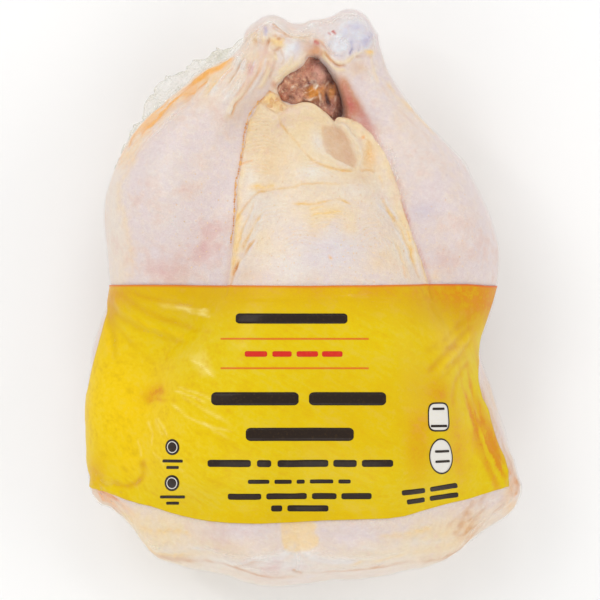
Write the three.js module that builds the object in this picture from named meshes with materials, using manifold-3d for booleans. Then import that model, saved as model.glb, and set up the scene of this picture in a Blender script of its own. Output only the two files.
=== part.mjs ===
import * as THREE from 'three';
import { mergeVertices } from 'three/addons/utils/BufferGeometryUtils.js';
import Module from 'manifold-3d';

// A whole raw chicken on its back, sealed in a clear shrink bag with a printed yellow band.
// Millimetres. Y runs from the neck end (-) to the leg ends (+), X across, Z up.
// The bag lies shrunk on the bird, so bag and bird are one solid; the printed band is a skin on it.

const wasm = await Module();
wasm.setup();

// ---- driving sizes ----
const spineStart = -70; // where the neck end starts to close
const spineEnd = 82; // where the leg end starts to close
const spineLow = 44; // height of the spine at the neck end
const spineHigh = 35; // and between the legs
const reach = 125; // how far out a ray starts from the spine
const roundSteps = 72;
const lengthSteps = 38;
const endSteps = 15;

const printLift = 0.45; // gap between the bag and the printed skin
const printThick = 0.6;
const printTop = 5.5; // edge towards the legs
const printSide = 82; // where the lower edge starts, at the sides
const printDip = 16.5; // how far its middle hangs below that
const printHalf = 92;
const printRise = 47; // the band stops at this height on the sides

const frillTeeth = 11;
const frillDepth = 6.5;
const frillThick = 1.4;
const frillHeight = 54;

// Each limb runs along Y: distance along, middle across, middle up, half width, half height.
const leftLeg = [
  [-44, -48, 40, 16, 22],
  [-20, -54, 45, 25, 32],
  [8, -57.5, 49, 28, 38],
  [38, -58, 52, 31, 40],
  [62, -52, 55, 28.5, 37],
  [78, -45, 58, 23, 31],
  [91, -33, 61, 20, 24],
  [103, -18, 64, 18.5, 18.5],
  [112, -13, 66, 13, 14],
];
const rightLeg = [
  [-44, 46, 38, 16, 22],
  [-20, 53, 42, 25, 31],
  [5, 57, 46, 28, 36],
  [30, 58.5, 50, 26.5, 38],
  [56, 49.5, 54, 21.5, 32],
  [71.5, 40.5, 57, 18.5, 26],
  [81.5, 33, 59, 16.5, 22],
  [92, 27, 60, 15, 19],
  [102, 22, 62, 14.5, 17],
  [113.5, 20, 65, 13, 14],
];
const leftBreast = [
  [-92, -24, 53, 26, 41],
  [-78, -25, 59, 38, 46],
  [-60, -24, 64, 45, 48],
  [-36, -19, 66, 46, 47],
  [-5, -11, 68, 36, 43],
  [30, -5, 68, 28, 35],
  [55, -5, 65, 21, 28],
  [74, -6, 61, 15, 20],
  [86, -5, 56, 9, 12],
];
const rightBreast = [
  [-92, 24, 53, 26, 41],
  [-78, 27, 59, 38, 46],
  [-60, 29, 64, 45, 48],
  [-36, 28, 66, 46, 47],
  [-5, 24, 68, 37, 43],
  [30, 17, 68, 28, 35],
  [55, 12, 65, 21, 28],
  [74, 9, 61, 15, 20],
  [86, 7, 56, 9, 12],
];
const leftFold = [
  [-36, -46, 52, 14, 20],
  [-12, -40, 58, 20, 26],
  [8, -34, 63, 18, 26],
  [38, -30, 65, 16, 24],
  [62, -27, 64, 13, 21],
  [82, -20, 60, 8, 12],
];
const rightFold = [
  [-36, 58, 48, 14, 20],
  [-12, 54, 54, 20, 25],
  [8, 50, 58, 18, 25],
  [38, 43, 61, 15, 23],
  [60, 34, 62, 12, 20],
  [80, 24, 60, 8, 12],
];
const leftWing = [
  [6, -62, 43, 14, 16],
  [-18, -69, 44, 20, 23],
  [-46, -73, 46, 21.5, 27],
  [-68, -76.5, 43, 17.5, 23],
  [-80, -80, 38, 12.5, 16],
];
const rightWing = [
  [0, 50, 38, 10, 14],
  [-22, 54, 41, 17, 23],
  [-50, 61, 44, 19, 26],
  [-70, 71.5, 42, 17, 21],
  [-86, 81, 38, 12.5, 14],
];

// ---- the form as a field: negative inside, zero on the bag ----
function smoothMin(a, b, width) {
  const h = Math.max(width - Math.abs(a - b), 0) / width;
  return Math.min(a, b) - (h * h * width) / 4;
}

function eggDistance(p, centre, radii, squareness = 2) {
  const q = centre.map((c, i) => Math.abs((p[i] - c) / radii[i]) ** squareness);
  return ((q[0] + q[1] + q[2]) ** (1 / squareness) - 1) * Math.min(...radii);
}

// A limb is a rounded bar whose middle and thickness flow smoothly along Y.
function makeLimb(stations, squareness) {
  const rows = [...stations].sort((a, b) => a[0] - b[0]);
  const last = rows.length - 1;
  const slopes = rows.map((row, i) => {
    const before = rows[Math.max(i - 1, 0)];
    const after = rows[Math.min(i + 1, last)];
    const atEnd = i === 0 || i === last;
    return row.map((_, k) => (atEnd && k > 2 ? 0 : (after[k] - before[k]) / (after[0] - before[0])));
  });
  return (p) => {
    const y = Math.min(Math.max(p[1], rows[0][0]), rows[last][0]);
    let i = 0;
    while (i < last - 1 && y > rows[i + 1][0]) i += 1;
    const span = rows[i + 1][0] - rows[i][0];
    const t = (y - rows[i][0]) / span;
    const start = 2 * t ** 3 - 3 * t ** 2 + 1;
    const startSlope = (t ** 3 - 2 * t ** 2 + t) * span;
    const endSlope = (t ** 3 - t ** 2) * span;
    const at = (k) =>
      start * rows[i][k] + (1 - start) * rows[i + 1][k] + startSlope * slopes[i][k] + endSlope * slopes[i + 1][k];
    const [halfWidth, halfHeight] = [at(3), at(4)];
    const q =
      Math.abs((p[0] - at(1)) / halfWidth) ** squareness +
      Math.abs((p[2] - at(2)) / halfHeight) ** squareness +
      Math.abs((p[1] - y) / halfWidth) ** squareness;
    return (q ** (1 / squareness) - 1) * Math.min(halfWidth, halfHeight);
  };
}

const legs = [makeLimb(leftLeg, 2.1), makeLimb(rightLeg, 2.1)];
const breasts = [makeLimb(leftBreast, 2.2), makeLimb(rightBreast, 2.2)];
const folds = [makeLimb(leftFold, 2), makeLimb(rightFold, 2)];
const wings = [makeLimb(leftWing, 2.2), makeLimb(rightWing, 2.2)];

function bagDistance(p) {
  // back and belly, with the soft underside that spreads on the table
  let d = eggDistance(p, [0, -30, 46], [58, 82, 46]);
  d = smoothMin(d, eggDistance(p, [0, -14, 26], [62, 98, 28], 2.4), 14);
  d = smoothMin(d, eggDistance(p, [0, 62, 37], [40, 44, 33]), 10);
  d = smoothMin(d, eggDistance(p, [2, 104, 30], [14, 13, 12]), 8); // tail
  // breast over the broad neck end
  const breast = smoothMin(breasts[0](p), breasts[1](p), 16);
  let neck = eggDistance(p, [1, -62, 47], [88, 61, 39], 2.35);
  neck = smoothMin(neck, eggDistance(p, [-12, -110, 42], [27, 17, 24]), 10);
  d = smoothMin(d, smoothMin(breast, neck, 18), 10);
  // folded wings
  d = smoothMin(d, smoothMin(wings[0](p), wings[1](p), 1), 14);
  // skin between breast and thighs, then the legs with their knuckles
  d = smoothMin(d, smoothMin(folds[0](p), folds[1](p), 2), 8);
  d = smoothMin(d, smoothMin(legs[0](p), legs[1](p), 4), 7);
  d = smoothMin(d, eggDistance(p, [3, 115, 66], [18, 6, 8]), 6); // film across the knuckles
  // the bag bridges the open cavity and sinks in a little
  return smoothMin(d, eggDistance(p, [0, 95, 57], [22, 27, 20]), 14);
}

// Walk in along a ray from outside until the bag, or a surface `lift` above it, is met.
function bagReach(origin, direction, lift) {
  const at = (t) => origin.map((o, i) => o + direction[i] * t);
  let t = reach;
  for (let d = reach; t > 1; t -= Math.max(d * 0.6, 0.03)) {
    d = bagDistance(at(t)) - lift;
    if (d < 0.02) break;
  }
  return Math.max(t, 1);
}

// ---- solids ----
function toManifold(geometry) {
  geometry.deleteAttribute('normal');
  geometry.deleteAttribute('uv');
  const merged = mergeVertices(geometry, 1e-4);
  return new wasm.Manifold(
    new wasm.Mesh({
      numProp: 3,
      vertProperties: new Float32Array(merged.attributes.position.array),
      triVerts: new Uint32Array(merged.index.array),
    }),
  );
}

function toGeometry(manifold) {
  const mesh = manifold.getMesh();
  const geometry = new THREE.BufferGeometry();
  geometry.setAttribute('position', new THREE.BufferAttribute(new Float32Array(mesh.vertProperties), 3));
  geometry.setIndex(new THREE.BufferAttribute(new Uint32Array(mesh.triVerts), 1));
  geometry.computeVertexNormals();
  return geometry;
}

// A long capsule pushed out to the bag, ray by ray from the spine.
function bagShell(lift) {
  const half = 1;
  const geometry = new THREE.CapsuleGeometry(1, 2 * half, endSteps, roundSteps, lengthSteps);
  const position = geometry.attributes.position;
  for (let i = 0; i < position.count; i += 1) {
    const along = THREE.MathUtils.clamp(position.getY(i), -half, half);
    const direction = [position.getX(i), position.getY(i) - along, position.getZ(i)];
    const s = THREE.MathUtils.inverseLerp(-half, half, along);
    const height = THREE.MathUtils.lerp(spineLow, spineHigh, THREE.MathUtils.smoothstep(s, 0.3, 1));
    const origin = [3, THREE.MathUtils.lerp(spineStart, spineEnd, s), height];
    const t = bagReach(origin, direction, lift);
    position.setXYZ(i, ...origin.map((o, k) => o + direction[k] * t));
  }
  return toManifold(geometry);
}

function block(minimum, maximum) {
  const size = maximum.map((m, i) => m - minimum[i]);
  const geometry = new THREE.BoxGeometry(...size);
  geometry.translate(...size.map((s, i) => minimum[i] + s / 2));
  return toManifold(geometry);
}

// Loose film standing out along the outer edge of one leg, torn to points.
function filmFrill() {
  const edge = new THREE.CatmullRomCurve3([
    new THREE.Vector3(-74, 40, 0),
    new THREE.Vector3(-73, 66, 0),
    new THREE.Vector3(-60, 85, 0),
    new THREE.Vector3(-44, 98, 0),
    new THREE.Vector3(-25, 112, 0),
  ]);
  const outline = new THREE.Shape();
  const steps = frillTeeth * 2;
  for (let i = 0; i <= steps; i += 1) {
    const along = i / steps;
    const point = edge.getPointAt(along);
    const out = edge.getTangentAt(along).applyAxisAngle(new THREE.Vector3(0, 0, 1), Math.PI / 2);
    const swell = Math.sin(Math.PI * along) ** 0.5;
    const tooth = i % 2 ? 1 : 0.55 + 0.2 * Math.sin(i * 2.3);
    point.addScaledVector(out, 2 + frillDepth * swell * tooth);
    if (i === 0) outline.moveTo(point.x, point.y);
    else outline.lineTo(point.x, point.y);
  }
  outline.lineTo(-18, 96);
  outline.lineTo(-40, 60);
  outline.lineTo(-60, 38);
  const geometry = new THREE.ExtrudeGeometry(outline, { depth: frillThick, bevelEnabled: false });
  geometry.translate(0, 0, frillHeight);
  return toManifold(geometry);
}

// Plan of the printed band, drawn down through the bag.
function printPrism() {
  const outline = new THREE.Shape();
  const sideSteps = 14;
  const rightSide = (s) => 84 - 8.5 * Math.sin(Math.PI * Math.min(s / 0.78, 1)) + 6 * s * s;
  const depthAt = (x) => -printSide - printDip * (1 - (x / printHalf) ** 2);
  outline.moveTo(-printHalf - 6, printTop);
  outline.lineTo(rightSide(0), printTop - 1);
  for (let i = 1; i <= sideSteps; i += 1) {
    const s = i / sideSteps;
    outline.lineTo(rightSide(s), THREE.MathUtils.lerp(printTop - 1, -printSide - 0.5, s));
  }
  for (let i = 1; i < 20; i += 1) {
    const x = THREE.MathUtils.lerp(rightSide(1), -printHalf, i / 20);
    outline.lineTo(x, depthAt(x));
  }
  outline.lineTo(-printHalf - 6, -printSide);
  const geometry = new THREE.ExtrudeGeometry(outline, { depth: 120, bevelEnabled: false });
  geometry.translate(0, 0, printRise);
  return toManifold(geometry);
}

function makeBag() {
  const ground = block([-200, -200, -60], [200, 200, 0]);
  return bagShell(0).subtract(ground).add(filmFrill());
}

function makePrint() {
  const skin = bagShell(printLift + printThick).subtract(bagShell(printLift));
  return skin.intersect(printPrism());
}

function makeMesh(name, manifold, color, roughness) {
  const material = new THREE.MeshStandardMaterial({ color, roughness, metalness: 0 });
  const mesh = new THREE.Mesh(toGeometry(manifold), material);
  mesh.name = name;
  return mesh;
}

const group = new THREE.Group();
group.name = 'bagged_whole_chicken';
const bag = makeBag();
const box = bag.boundingBox();
const centring = [-(box.min[0] + box.max[0]) / 2, -(box.min[1] + box.max[1]) / 2, -box.min[2]];
group.add(makeMesh('bagged_chicken', bag.translate(centring), 0xecd5c8, 0.35));
group.add(makeMesh('print_band', makePrint().translate(centring), 0xe3c517, 0.35));

export default group;
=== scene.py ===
import math

import bmesh
import bpy
import numpy as np
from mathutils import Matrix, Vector


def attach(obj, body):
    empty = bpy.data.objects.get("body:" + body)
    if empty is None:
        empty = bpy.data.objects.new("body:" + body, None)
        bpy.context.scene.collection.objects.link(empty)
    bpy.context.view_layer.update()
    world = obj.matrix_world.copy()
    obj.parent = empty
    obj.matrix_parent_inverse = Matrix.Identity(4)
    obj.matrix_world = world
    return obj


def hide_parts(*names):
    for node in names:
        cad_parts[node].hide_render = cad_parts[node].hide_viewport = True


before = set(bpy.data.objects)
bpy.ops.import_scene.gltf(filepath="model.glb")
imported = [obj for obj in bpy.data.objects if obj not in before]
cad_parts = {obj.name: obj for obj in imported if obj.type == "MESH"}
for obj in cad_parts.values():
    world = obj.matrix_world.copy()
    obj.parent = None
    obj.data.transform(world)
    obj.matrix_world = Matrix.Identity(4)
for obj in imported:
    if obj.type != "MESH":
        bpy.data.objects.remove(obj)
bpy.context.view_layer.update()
bpy.context.scene.view_settings.view_transform = "Standard"

# Sizes are in millimetres in the bird's own place: x across, y to the leg ends, z up.
# Meshes are written in metres, with the bird's box centred as the frame has it.
mm = 0.001
boxShift = np.array([1.138, 1.553, 0.0])
rng = np.random.default_rng(41)
cells = 24
lattice = rng.random((cells, cells, cells)) * 2 - 1

# y along, middle across, middle up, half width, half height
limbs = {
    "leftLeg": (2.1, [
        (-44, -48, 40, 16, 22), (-20, -54, 45, 25, 32), (8, -57.5, 49, 28, 38), (38, -58, 52, 31, 40),
        (62, -52, 55, 28.5, 37), (78, -45, 58, 23, 31), (91, -33, 61, 20, 24), (103, -18, 64, 18.5, 18.5),
        (112, -13, 66, 13, 14)]),
    "rightLeg": (2.1, [
        (-44, 46, 38, 16, 22), (-20, 53, 42, 25, 31), (5, 57, 46, 28, 36), (30, 58.5, 50, 26.5, 38),
        (56, 49.5, 54, 21.5, 32), (71.5, 40.5, 57, 18.5, 26), (81.5, 33, 59, 16.5, 22), (92, 27, 60, 15, 19),
        (102, 22, 62, 14.5, 17), (113.5, 20, 65, 13, 14)]),
    "leftBreast": (2.2, [
        (-92, -24, 53, 26, 41), (-78, -25, 59, 38, 46), (-60, -24, 64, 45, 48), (-36, -19, 66, 46, 47),
        (-5, -11, 68, 36, 43), (30, -5, 68, 28, 35), (55, -5, 65, 21, 28), (74, -6, 61, 15, 20), (86, -5, 56, 9, 12)]),
    "rightBreast": (2.2, [
        (-92, 24, 53, 26, 41), (-78, 27, 59, 38, 46), (-60, 29, 64, 45, 48), (-36, 28, 66, 46, 47),
        (-5, 24, 68, 37, 43), (30, 17, 68, 28, 35), (55, 12, 65, 21, 28), (74, 9, 61, 15, 20), (86, 7, 56, 9, 12)]),
    "leftFold": (2.0, [
        (-36, -46, 52, 14, 20), (-12, -40, 58, 20, 26), (8, -34, 63, 18, 26), (38, -30, 65, 16, 24),
        (62, -27, 64, 13, 21), (82, -20, 60, 8, 12)]),
    "rightFold": (2.0, [
        (-36, 58, 48, 14, 20), (-12, 54, 54, 20, 25), (8, 50, 58, 18, 25), (38, 43, 61, 15, 23),
        (60, 34, 62, 12, 20), (80, 24, 60, 8, 12)]),
    "leftWing": (2.2, [
        (6, -62, 43, 14, 16), (-18, -69, 44, 20, 23), (-46, -73, 46, 21.5, 27), (-68, -76.5, 43, 17.5, 23),
        (-80, -80, 38, 12.5, 16)]),
    "rightWing": (2.2, [
        (0, 50, 38, 10, 14), (-22, 54, 41, 17, 23), (-50, 61, 44, 19, 26), (-70, 71.5, 42, 17, 21),
        (-86, 81, 38, 12.5, 14)]),
}


def smoothMin(a, b, width):
    h = np.maximum(width - np.abs(a - b), 0) / width
    return np.minimum(a, b) - h * h * width / 4


def smoothStep(value, low, high):
    t = np.clip((value - low) / (high - low), 0, 1)
    return t * t * (3 - 2 * t)


def egg(p, centre, radii, squareness=2.0):
    q = np.abs((p - centre) / radii) ** squareness
    return (q.sum(-1) ** (1 / squareness) - 1) * min(radii)


def limbTable(rows):
    rows = np.array(sorted(rows), float)
    y, v = rows[:, 0], rows[:, 1:]
    slope = np.zeros_like(v)
    slope[1:-1] = (v[2:] - v[:-2]) / (y[2:] - y[:-2])[:, None]
    for end, a, b in ((0, 0, 1), (-1, -2, -1)):
        slope[end, :2] = ((v[b] - v[a]) / (y[b] - y[a]))[:2]
    fine = np.linspace(y[0], y[-1], 500)
    i = np.clip(np.searchsorted(y, fine, side="right") - 1, 0, len(y) - 2)
    span = (y[i + 1] - y[i])[:, None]
    t = ((fine - y[i])[:, None]) / span
    start = 2 * t ** 3 - 3 * t ** 2 + 1
    out = start * v[i] + (1 - start) * v[i + 1]
    out += (t ** 3 - 2 * t ** 2 + t) * span * slope[i] + (t ** 3 - t ** 2) * span * slope[i + 1]
    return fine, out


limbTables = {name: (square, *limbTable(rows)) for name, (square, rows) in limbs.items()}


def limb(p, name):
    square, fine, values = limbTables[name]
    y = np.clip(p[:, 1], fine[0], fine[-1])
    x, z, wide, high = (np.interp(y, fine, values[:, k]) for k in range(4))
    q = np.abs((p[:, 0] - x) / wide) ** square + np.abs((p[:, 2] - z) / high) ** square
    q += np.abs((p[:, 1] - y) / wide) ** square
    return (q ** (1 / square) - 1) * np.minimum(wide, high)


def bagDistance(p):
    d = egg(p, (0, -30, 46), (58, 82, 46))
    d = smoothMin(d, egg(p, (0, -14, 26), (62, 98, 28), 2.4), 14)
    d = smoothMin(d, egg(p, (0, 62, 37), (40, 44, 33)), 10)
    d = smoothMin(d, egg(p, (2, 104, 30), (14, 13, 12)), 8)  # tail
    breast = smoothMin(limb(p, "leftBreast"), limb(p, "rightBreast"), 16)
    neck = egg(p, (1, -62, 47), (88, 61, 39), 2.35)
    neck = smoothMin(neck, egg(p, (-12, -110, 42), (27, 17, 24)), 10)
    d = smoothMin(d, smoothMin(breast, neck, 18), 10)
    d = smoothMin(d, smoothMin(limb(p, "leftWing"), limb(p, "rightWing"), 1), 14)
    d = smoothMin(d, smoothMin(limb(p, "leftFold"), limb(p, "rightFold"), 2), 8)
    d = smoothMin(d, smoothMin(limb(p, "leftLeg"), limb(p, "rightLeg"), 4), 7)
    d = smoothMin(d, egg(p, (3, 115, 66), (18, 6, 8)), 6)
    d = smoothMin(d, egg(p, (0, 95, 57), (22, 27, 20)), 14)
    return np.maximum(d, -p[:, 2])


spine = {"start": -70, "end": 82, "low": 44, "high": 35, "x": 3}


def spinePoint(y):
    s = (y - spine["start"]) / (spine["end"] - spine["start"])
    z = spine["low"] + (spine["high"] - spine["low"]) * smoothStep(s, 0.3, 1)
    return np.stack([np.full_like(y, spine["x"]), y, z], -1)


def castRays(origins, directions, begin, steps):
    t = np.full(len(origins), float(begin))
    for _ in range(steps):
        d = bagDistance(origins + directions * t[:, None])
        t = np.maximum(t - np.where(d > 0, np.maximum(d * 0.6, 0.004), d * 0.6), 1)
    return origins + directions * t[:, None]


def fieldNormals(p):
    step = 0.05
    d = bagDistance(p)
    n = np.stack([bagDistance(p + np.eye(3)[k] * step) - d for k in range(3)], -1) / step
    return d, n / (np.linalg.norm(n, axis=1, keepdims=True) + 1e-9)


planStep = 3.0
planX, planY = np.arange(-108, 109, planStep), np.arange(-138, 139, planStep)
planHigh = castRays(np.array([(x, y, 0.0) for y in planY for x in planX]),
                    np.tile((0.0, 0.0, 1.0), (len(planX) * len(planY), 1)), 118, 90)[:, 2].reshape(len(planY), -1)


def dropTo(x, y):  # points on the bag straight below these places
    i = np.clip((x - planX[0]) / planStep, 0, len(planX) - 1.001)
    j = np.clip((y - planY[0]) / planStep, 0, len(planY) - 1.001)
    a, b = i.astype(int), j.astype(int)
    z = np.maximum.reduce([planHigh[b, a], planHigh[b + 1, a], planHigh[b, a + 1], planHigh[b + 1, a + 1]]) + 0.3
    p = np.stack([x, y, z], -1)
    for _ in range(22):
        p[:, 2] -= bagDistance(p) * 0.7
    return p


def lumps(p, size, seed=0):  # smooth lumps about this many mm across, from -1 to 1
    q = p / size + seed * 7.31
    i = np.floor(q).astype(int)
    f = q - i
    f = f * f * (3 - 2 * f)
    out = 0
    for corner in np.ndindex(2, 2, 2):
        weight = np.prod(np.where(corner, f, 1 - f), axis=-1)
        cell = (i + corner) % cells
        out = out + weight * lattice[cell[..., 0], cell[..., 1], cell[..., 2]]
    return out


def curve(points, count=48):  # a smooth path through a few points, given as pairs or as x, y, x, y
    points = np.array(points, float).reshape(-1, 2)
    ends = np.vstack([2 * points[0] - points[1], points, 2 * points[-1] - points[-2]])
    s = np.linspace(0, len(points) - 1, count)
    i = np.minimum(s.astype(int), len(points) - 2)
    t = (s - i)[:, None]
    a, b, c, d = (ends[i + k] for k in range(4))
    return 0.5 * (2 * b + (c - a) * t + (2 * a - 5 * b + 4 * c - d) * t ** 2 + (3 * b - a - 3 * c + d) * t ** 3)


def nearPath(p, points, reach=9, closed=False):  # distance in plan, share along, and which side, near a path only
    path = np.array(points + points[:1], float) if closed else curve(points)
    low, high = path.min(0) - reach, path.max(0) + reach
    away, share, side = np.full(len(p), 999.0), np.zeros(len(p)), np.ones(len(p))
    near = np.where(((p[:, :2] > low) & (p[:, :2] < high)).all(1))[0]
    if len(near):
        a, edge = path[:-1], path[1:] - path[:-1]
        q = p[near, None, :2] - a
        t = np.clip((q * edge).sum(-1) / ((edge ** 2).sum(-1) + 1e-12), 0, 1)
        gap = np.linalg.norm(q - edge * t[..., None], axis=-1)
        best = gap.argmin(1)
        k = np.arange(len(near))
        away[near] = gap[k, best]
        share[near] = (best + t[k, best]) / len(a)
        side[near] = np.sign(edge[best, 0] * q[k, best, 1] - edge[best, 1] * q[k, best, 0])
    return away, share, side


def outlineGap(p, outline):  # distance in plan to a closed outline, negative inside
    away = nearPath(p, outline, 12, True)[0]
    a = np.array(outline, float)
    b = np.roll(a, -1, 0)
    near = np.where(away < 900)[0]
    x, y = p[near, 0, None], p[near, 1, None]
    rise = np.where(b[:, 1] == a[:, 1], 1e-9, b[:, 1] - a[:, 1])
    crosses = ((a[:, 1] > y) != (b[:, 1] > y)) & (x < a[:, 0] + (y - a[:, 1]) * (b[:, 0] - a[:, 0]) / rise)
    away[near] *= np.where(crosses.sum(1) % 2 == 1, -1, 1)
    return away


def amounts(marks):  # "fat 0.4 tan 0.2" as pairs
    words = marks.split()
    return zip(words[::2], map(float, words[1::2]))


def spot(p, x, y, wide, long, turn=0.0):  # a soft round patch in plan, 1 in its middle
    c, s = math.cos(math.radians(turn)), math.sin(math.radians(turn))
    dx, dy = p[:, 0] - x, p[:, 1] - y
    u, v = (dx * c + dy * s) / wide, (dy * c - dx * s) / long
    return np.exp(-(u * u + v * v))


def bell(away, wide):  # 1 where away is 0, next to nothing at twice the width
    return np.exp(-(away / wide) ** 2)


def stroke(p, path, wide, lean=0.0, fade=0.16):  # a soft ridge along a path, steeper on one side
    away, share, side = nearPath(p, path, wide * 3.2 + 2)
    wide = wide * (1 + lean * side)
    return bell(away, wide) * smoothStep(share, -0.01, fade) * (1 - smoothStep(share, 1 - fade, 1.01))


def wavy(p):  # places nudged a little, so that lines drawn with them waver like real creases
    nudge = np.stack([lumps(p, 4.2, 22 + k) * 0.42 + lumps(p, 1.5, 24 + k) * 0.16 for k in range(2)], -1)
    return np.column_stack([p[:, :2] + nudge, p[:, 2]])


def uneven(p):  # strength of a narrow line along its way
    return np.clip(0.8 + 0.75 * lumps(p, 4.6, 26), 0.12, 1.35)


def strokes(p, rows):  # height, marks and weight of each line, wavering, and broken up where it is narrow
    w, strong = wavy(p), uneven(p)
    for path, height, wide, marks, *lean in rows:
        yield height, marks, stroke(w, path, wide, *lean) * (strong if wide < 1.5 else 1.0)


def spots(w, rows):  # the same for each soft patch; turn and height are left out of a row where they are 0
    for x, y, wide, long, marks, *more in rows:
        turn, height = (more + [0, 0])[:2]
        yield height, marks, spot(w, x, y, wide, long, turn)


def paintAll(p, names, rows, patches=(), top=1.0, strength=1.0):
    paint = {name: np.zeros(len(p)) for name in names}
    for _, marks, weight in strokes(p, rows):
        for name, amount in amounts(marks):
            paint[name] += strength * amount * weight * top
    for _, marks, weight in spots(wavy(p), patches):
        for name, amount in amounts(marks):
            paint[name] += amount * (weight * top)
    return paint


def doubled(paint):  # the same colours on a sheet's upper and under side
    return {name: np.concatenate([value, value]) for name, value in paint.items()}


# the bag's sides are nudged to the bird's own outline: place along, how far the edge moves
nudges = {
    "left": [
        (-140, 0), (-100, 0), (-92, 0.5), (-84, 0.5), (-74, 1), (-66, 1.8), (-56, 2), (-50, 1.7), (-42, 1.2),
        (-35, 0.6), (-29, 0), (-24, -1.2), (-18, -2), (-13, -3), (-8, -3.4), (-4, -2.6), (2, -1), (6, 0.3), (12, 0.6),
        (24, 1.6), (40, 1.2), (50, 0.6), (62, 0), (140, 0)],
    "right": [
        (-140, -2), (-100, -2), (-93, -1), (-88, 0), (-82, 0.8), (-77, -0.2), (-71, -1.4), (-65, -2.6), (-56, -2.9),
        (-50, -3.7), (-43, -4.2), (-35, -4.1), (-29, -3.4), (-24, -2.6), (-18, -2.6), (-13, -1.5), (-8, -0.7),
        (5, -0.4), (20, -0.5), (28, -1), (36, -0.6), (48, 0.6), (54, 1.6), (60, 3.6), (66, 2.4), (75, 0.3), (140, 0)],
    "neck": [
        (-110, 2), (-93, 2), (-90, 2.3), (-84.6, 4.6), (-80, 2.8), (-74.4, -0.3), (-71.5, -3.6), (-64, -5.2),
        (-54, -1.8), (-42, 3.4), (-35, 5.2), (-28, 5), (-20, 3.6), (-10, 3.3), (1, 3.9), (13, 4.2), (29, 3.2),
        (42, 2.2), (56, -1.7), (66, -4), (70, -4.2), (77, -0.9), (83, 2.2), (90, 2.2), (110, 1)],
    "neckEdge": [
        (-110, 84), (-93.3, 87), (-90.4, 91.4), (-84.6, 95.7), (-74.4, 100.4), (-64.2, 107.7), (-54.1, 115.1),
        (-42.4, 122.5), (-27.9, 127.8), (-10.5, 129.6), (12.8, 127.4), (28.8, 125.3), (41.9, 122), (56.4, 114.3),
        (69.5, 105.7), (76.7, 103.4), (89.8, 98), (95.6, 87.4), (110, 84)],
    "top": [
        (-60, 0), (-34, 0), (-22.8, -1.6), (-18.5, -1.6), (-13.4, -1.7), (-9, -3.5), (-5.4, -5.6), (-0.3, -4.9),
        (3.3, -2.6), (7, -2.9), (12.8, -2.1), (16.4, -0.5), (20.8, 0.1), (26, -0.5), (29.5, -2.3), (32, -4.6),
        (36, -2), (44, 0)],
}
nudgeGrid = np.arange(-140.0, 141.0)
for side, rows in nudges.items():  # no kinks between the rows
    even = np.interp(nudgeGrid, *zip(*rows))
    nudges[side] = np.convolve(np.pad(even, 2, "edge"), (0.1, 0.24, 0.32, 0.24, 0.1), "valid")


def fitOutline(p):
    x, y = p[:, 0], p[:, 1]
    side = np.where(x < 0, np.interp(y, nudgeGrid, nudges["left"]), np.interp(y, nudgeGrid, nudges["right"]))
    edge = np.interp(x, nudgeGrid, nudges["neckEdge"])
    along = np.interp(x, nudgeGrid, nudges["neck"]) * smoothStep(-y - edge, -17, -1)
    along += np.interp(x, nudgeGrid, nudges["top"]) * smoothStep(y, 111, 122)
    return np.column_stack([x + side * smoothStep(np.abs(x), 48, 82), y + along, p[:, 2:]])


def addToScene(name, data):
    thing = bpy.data.objects.new(name, data)
    bpy.context.scene.collection.objects.link(thing)
    return thing


def makeObject(name, points, faces, material, attributes=None):
    mesh = bpy.data.meshes.new(name)
    mesh.from_pydata(((fitOutline(np.asarray(points)) + boxShift) * mm).tolist(), [], [tuple(f) for f in faces])
    mesh.materials.append(material)
    for key, values in (attributes or {}).items():
        layer = mesh.attributes.new(key, "FLOAT", "POINT")
        layer.data.foreach_set("value", np.clip(np.asarray(values, float), 0, 1).astype(np.float32))
    mesh.polygons.foreach_set("use_smooth", [True] * len(mesh.polygons))
    mesh.update()
    return addToScene(name, mesh)


def sheetFaces(rows, columns, closed=False):
    i, j = np.meshgrid(np.arange(rows - 1), np.arange(columns if closed else columns - 1), indexing="ij")
    k = (j + 1) % columns
    return np.stack([i * columns + j, i * columns + k, (i + 1) * columns + k, (i + 1) * columns + j], -1).reshape(-1, 4)


def slabFaces(rows, columns):  # two sheets, the second one under the first, closed round the edge
    top = sheetFaces(rows, columns)
    count = rows * columns
    rim = np.concatenate([np.arange(columns), np.arange(1, rows) * columns + columns - 1,
                          (rows - 1) * columns + np.arange(columns - 2, -1, -1), np.arange(rows - 2, 0, -1) * columns])
    after = np.roll(rim, -1)
    wall = np.stack([rim, rim + count, after + count, after], -1)
    return np.vstack([top, top[:, ::-1] + count, wall])


def coonsGrid(top, bottom, left, right, rows, columns):  # plan grid between four border paths
    u, v = np.linspace(0, 1, columns)[None, :, None], np.linspace(0, 1, rows)[:, None, None]
    t, b = curve(top, columns)[None], curve(bottom, columns)[None]
    l, r = curve(left, rows)[:, None], curve(right, rows)[:, None]
    corners = (1 - u) * (1 - v) * t[:, :1] + u * (1 - v) * t[:, -1:] + (1 - u) * v * b[:, :1] + u * v * b[:, -1:]
    return ((1 - v) * t + v * b + (1 - u) * l + u * r - corners).reshape(-1, 2)


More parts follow.
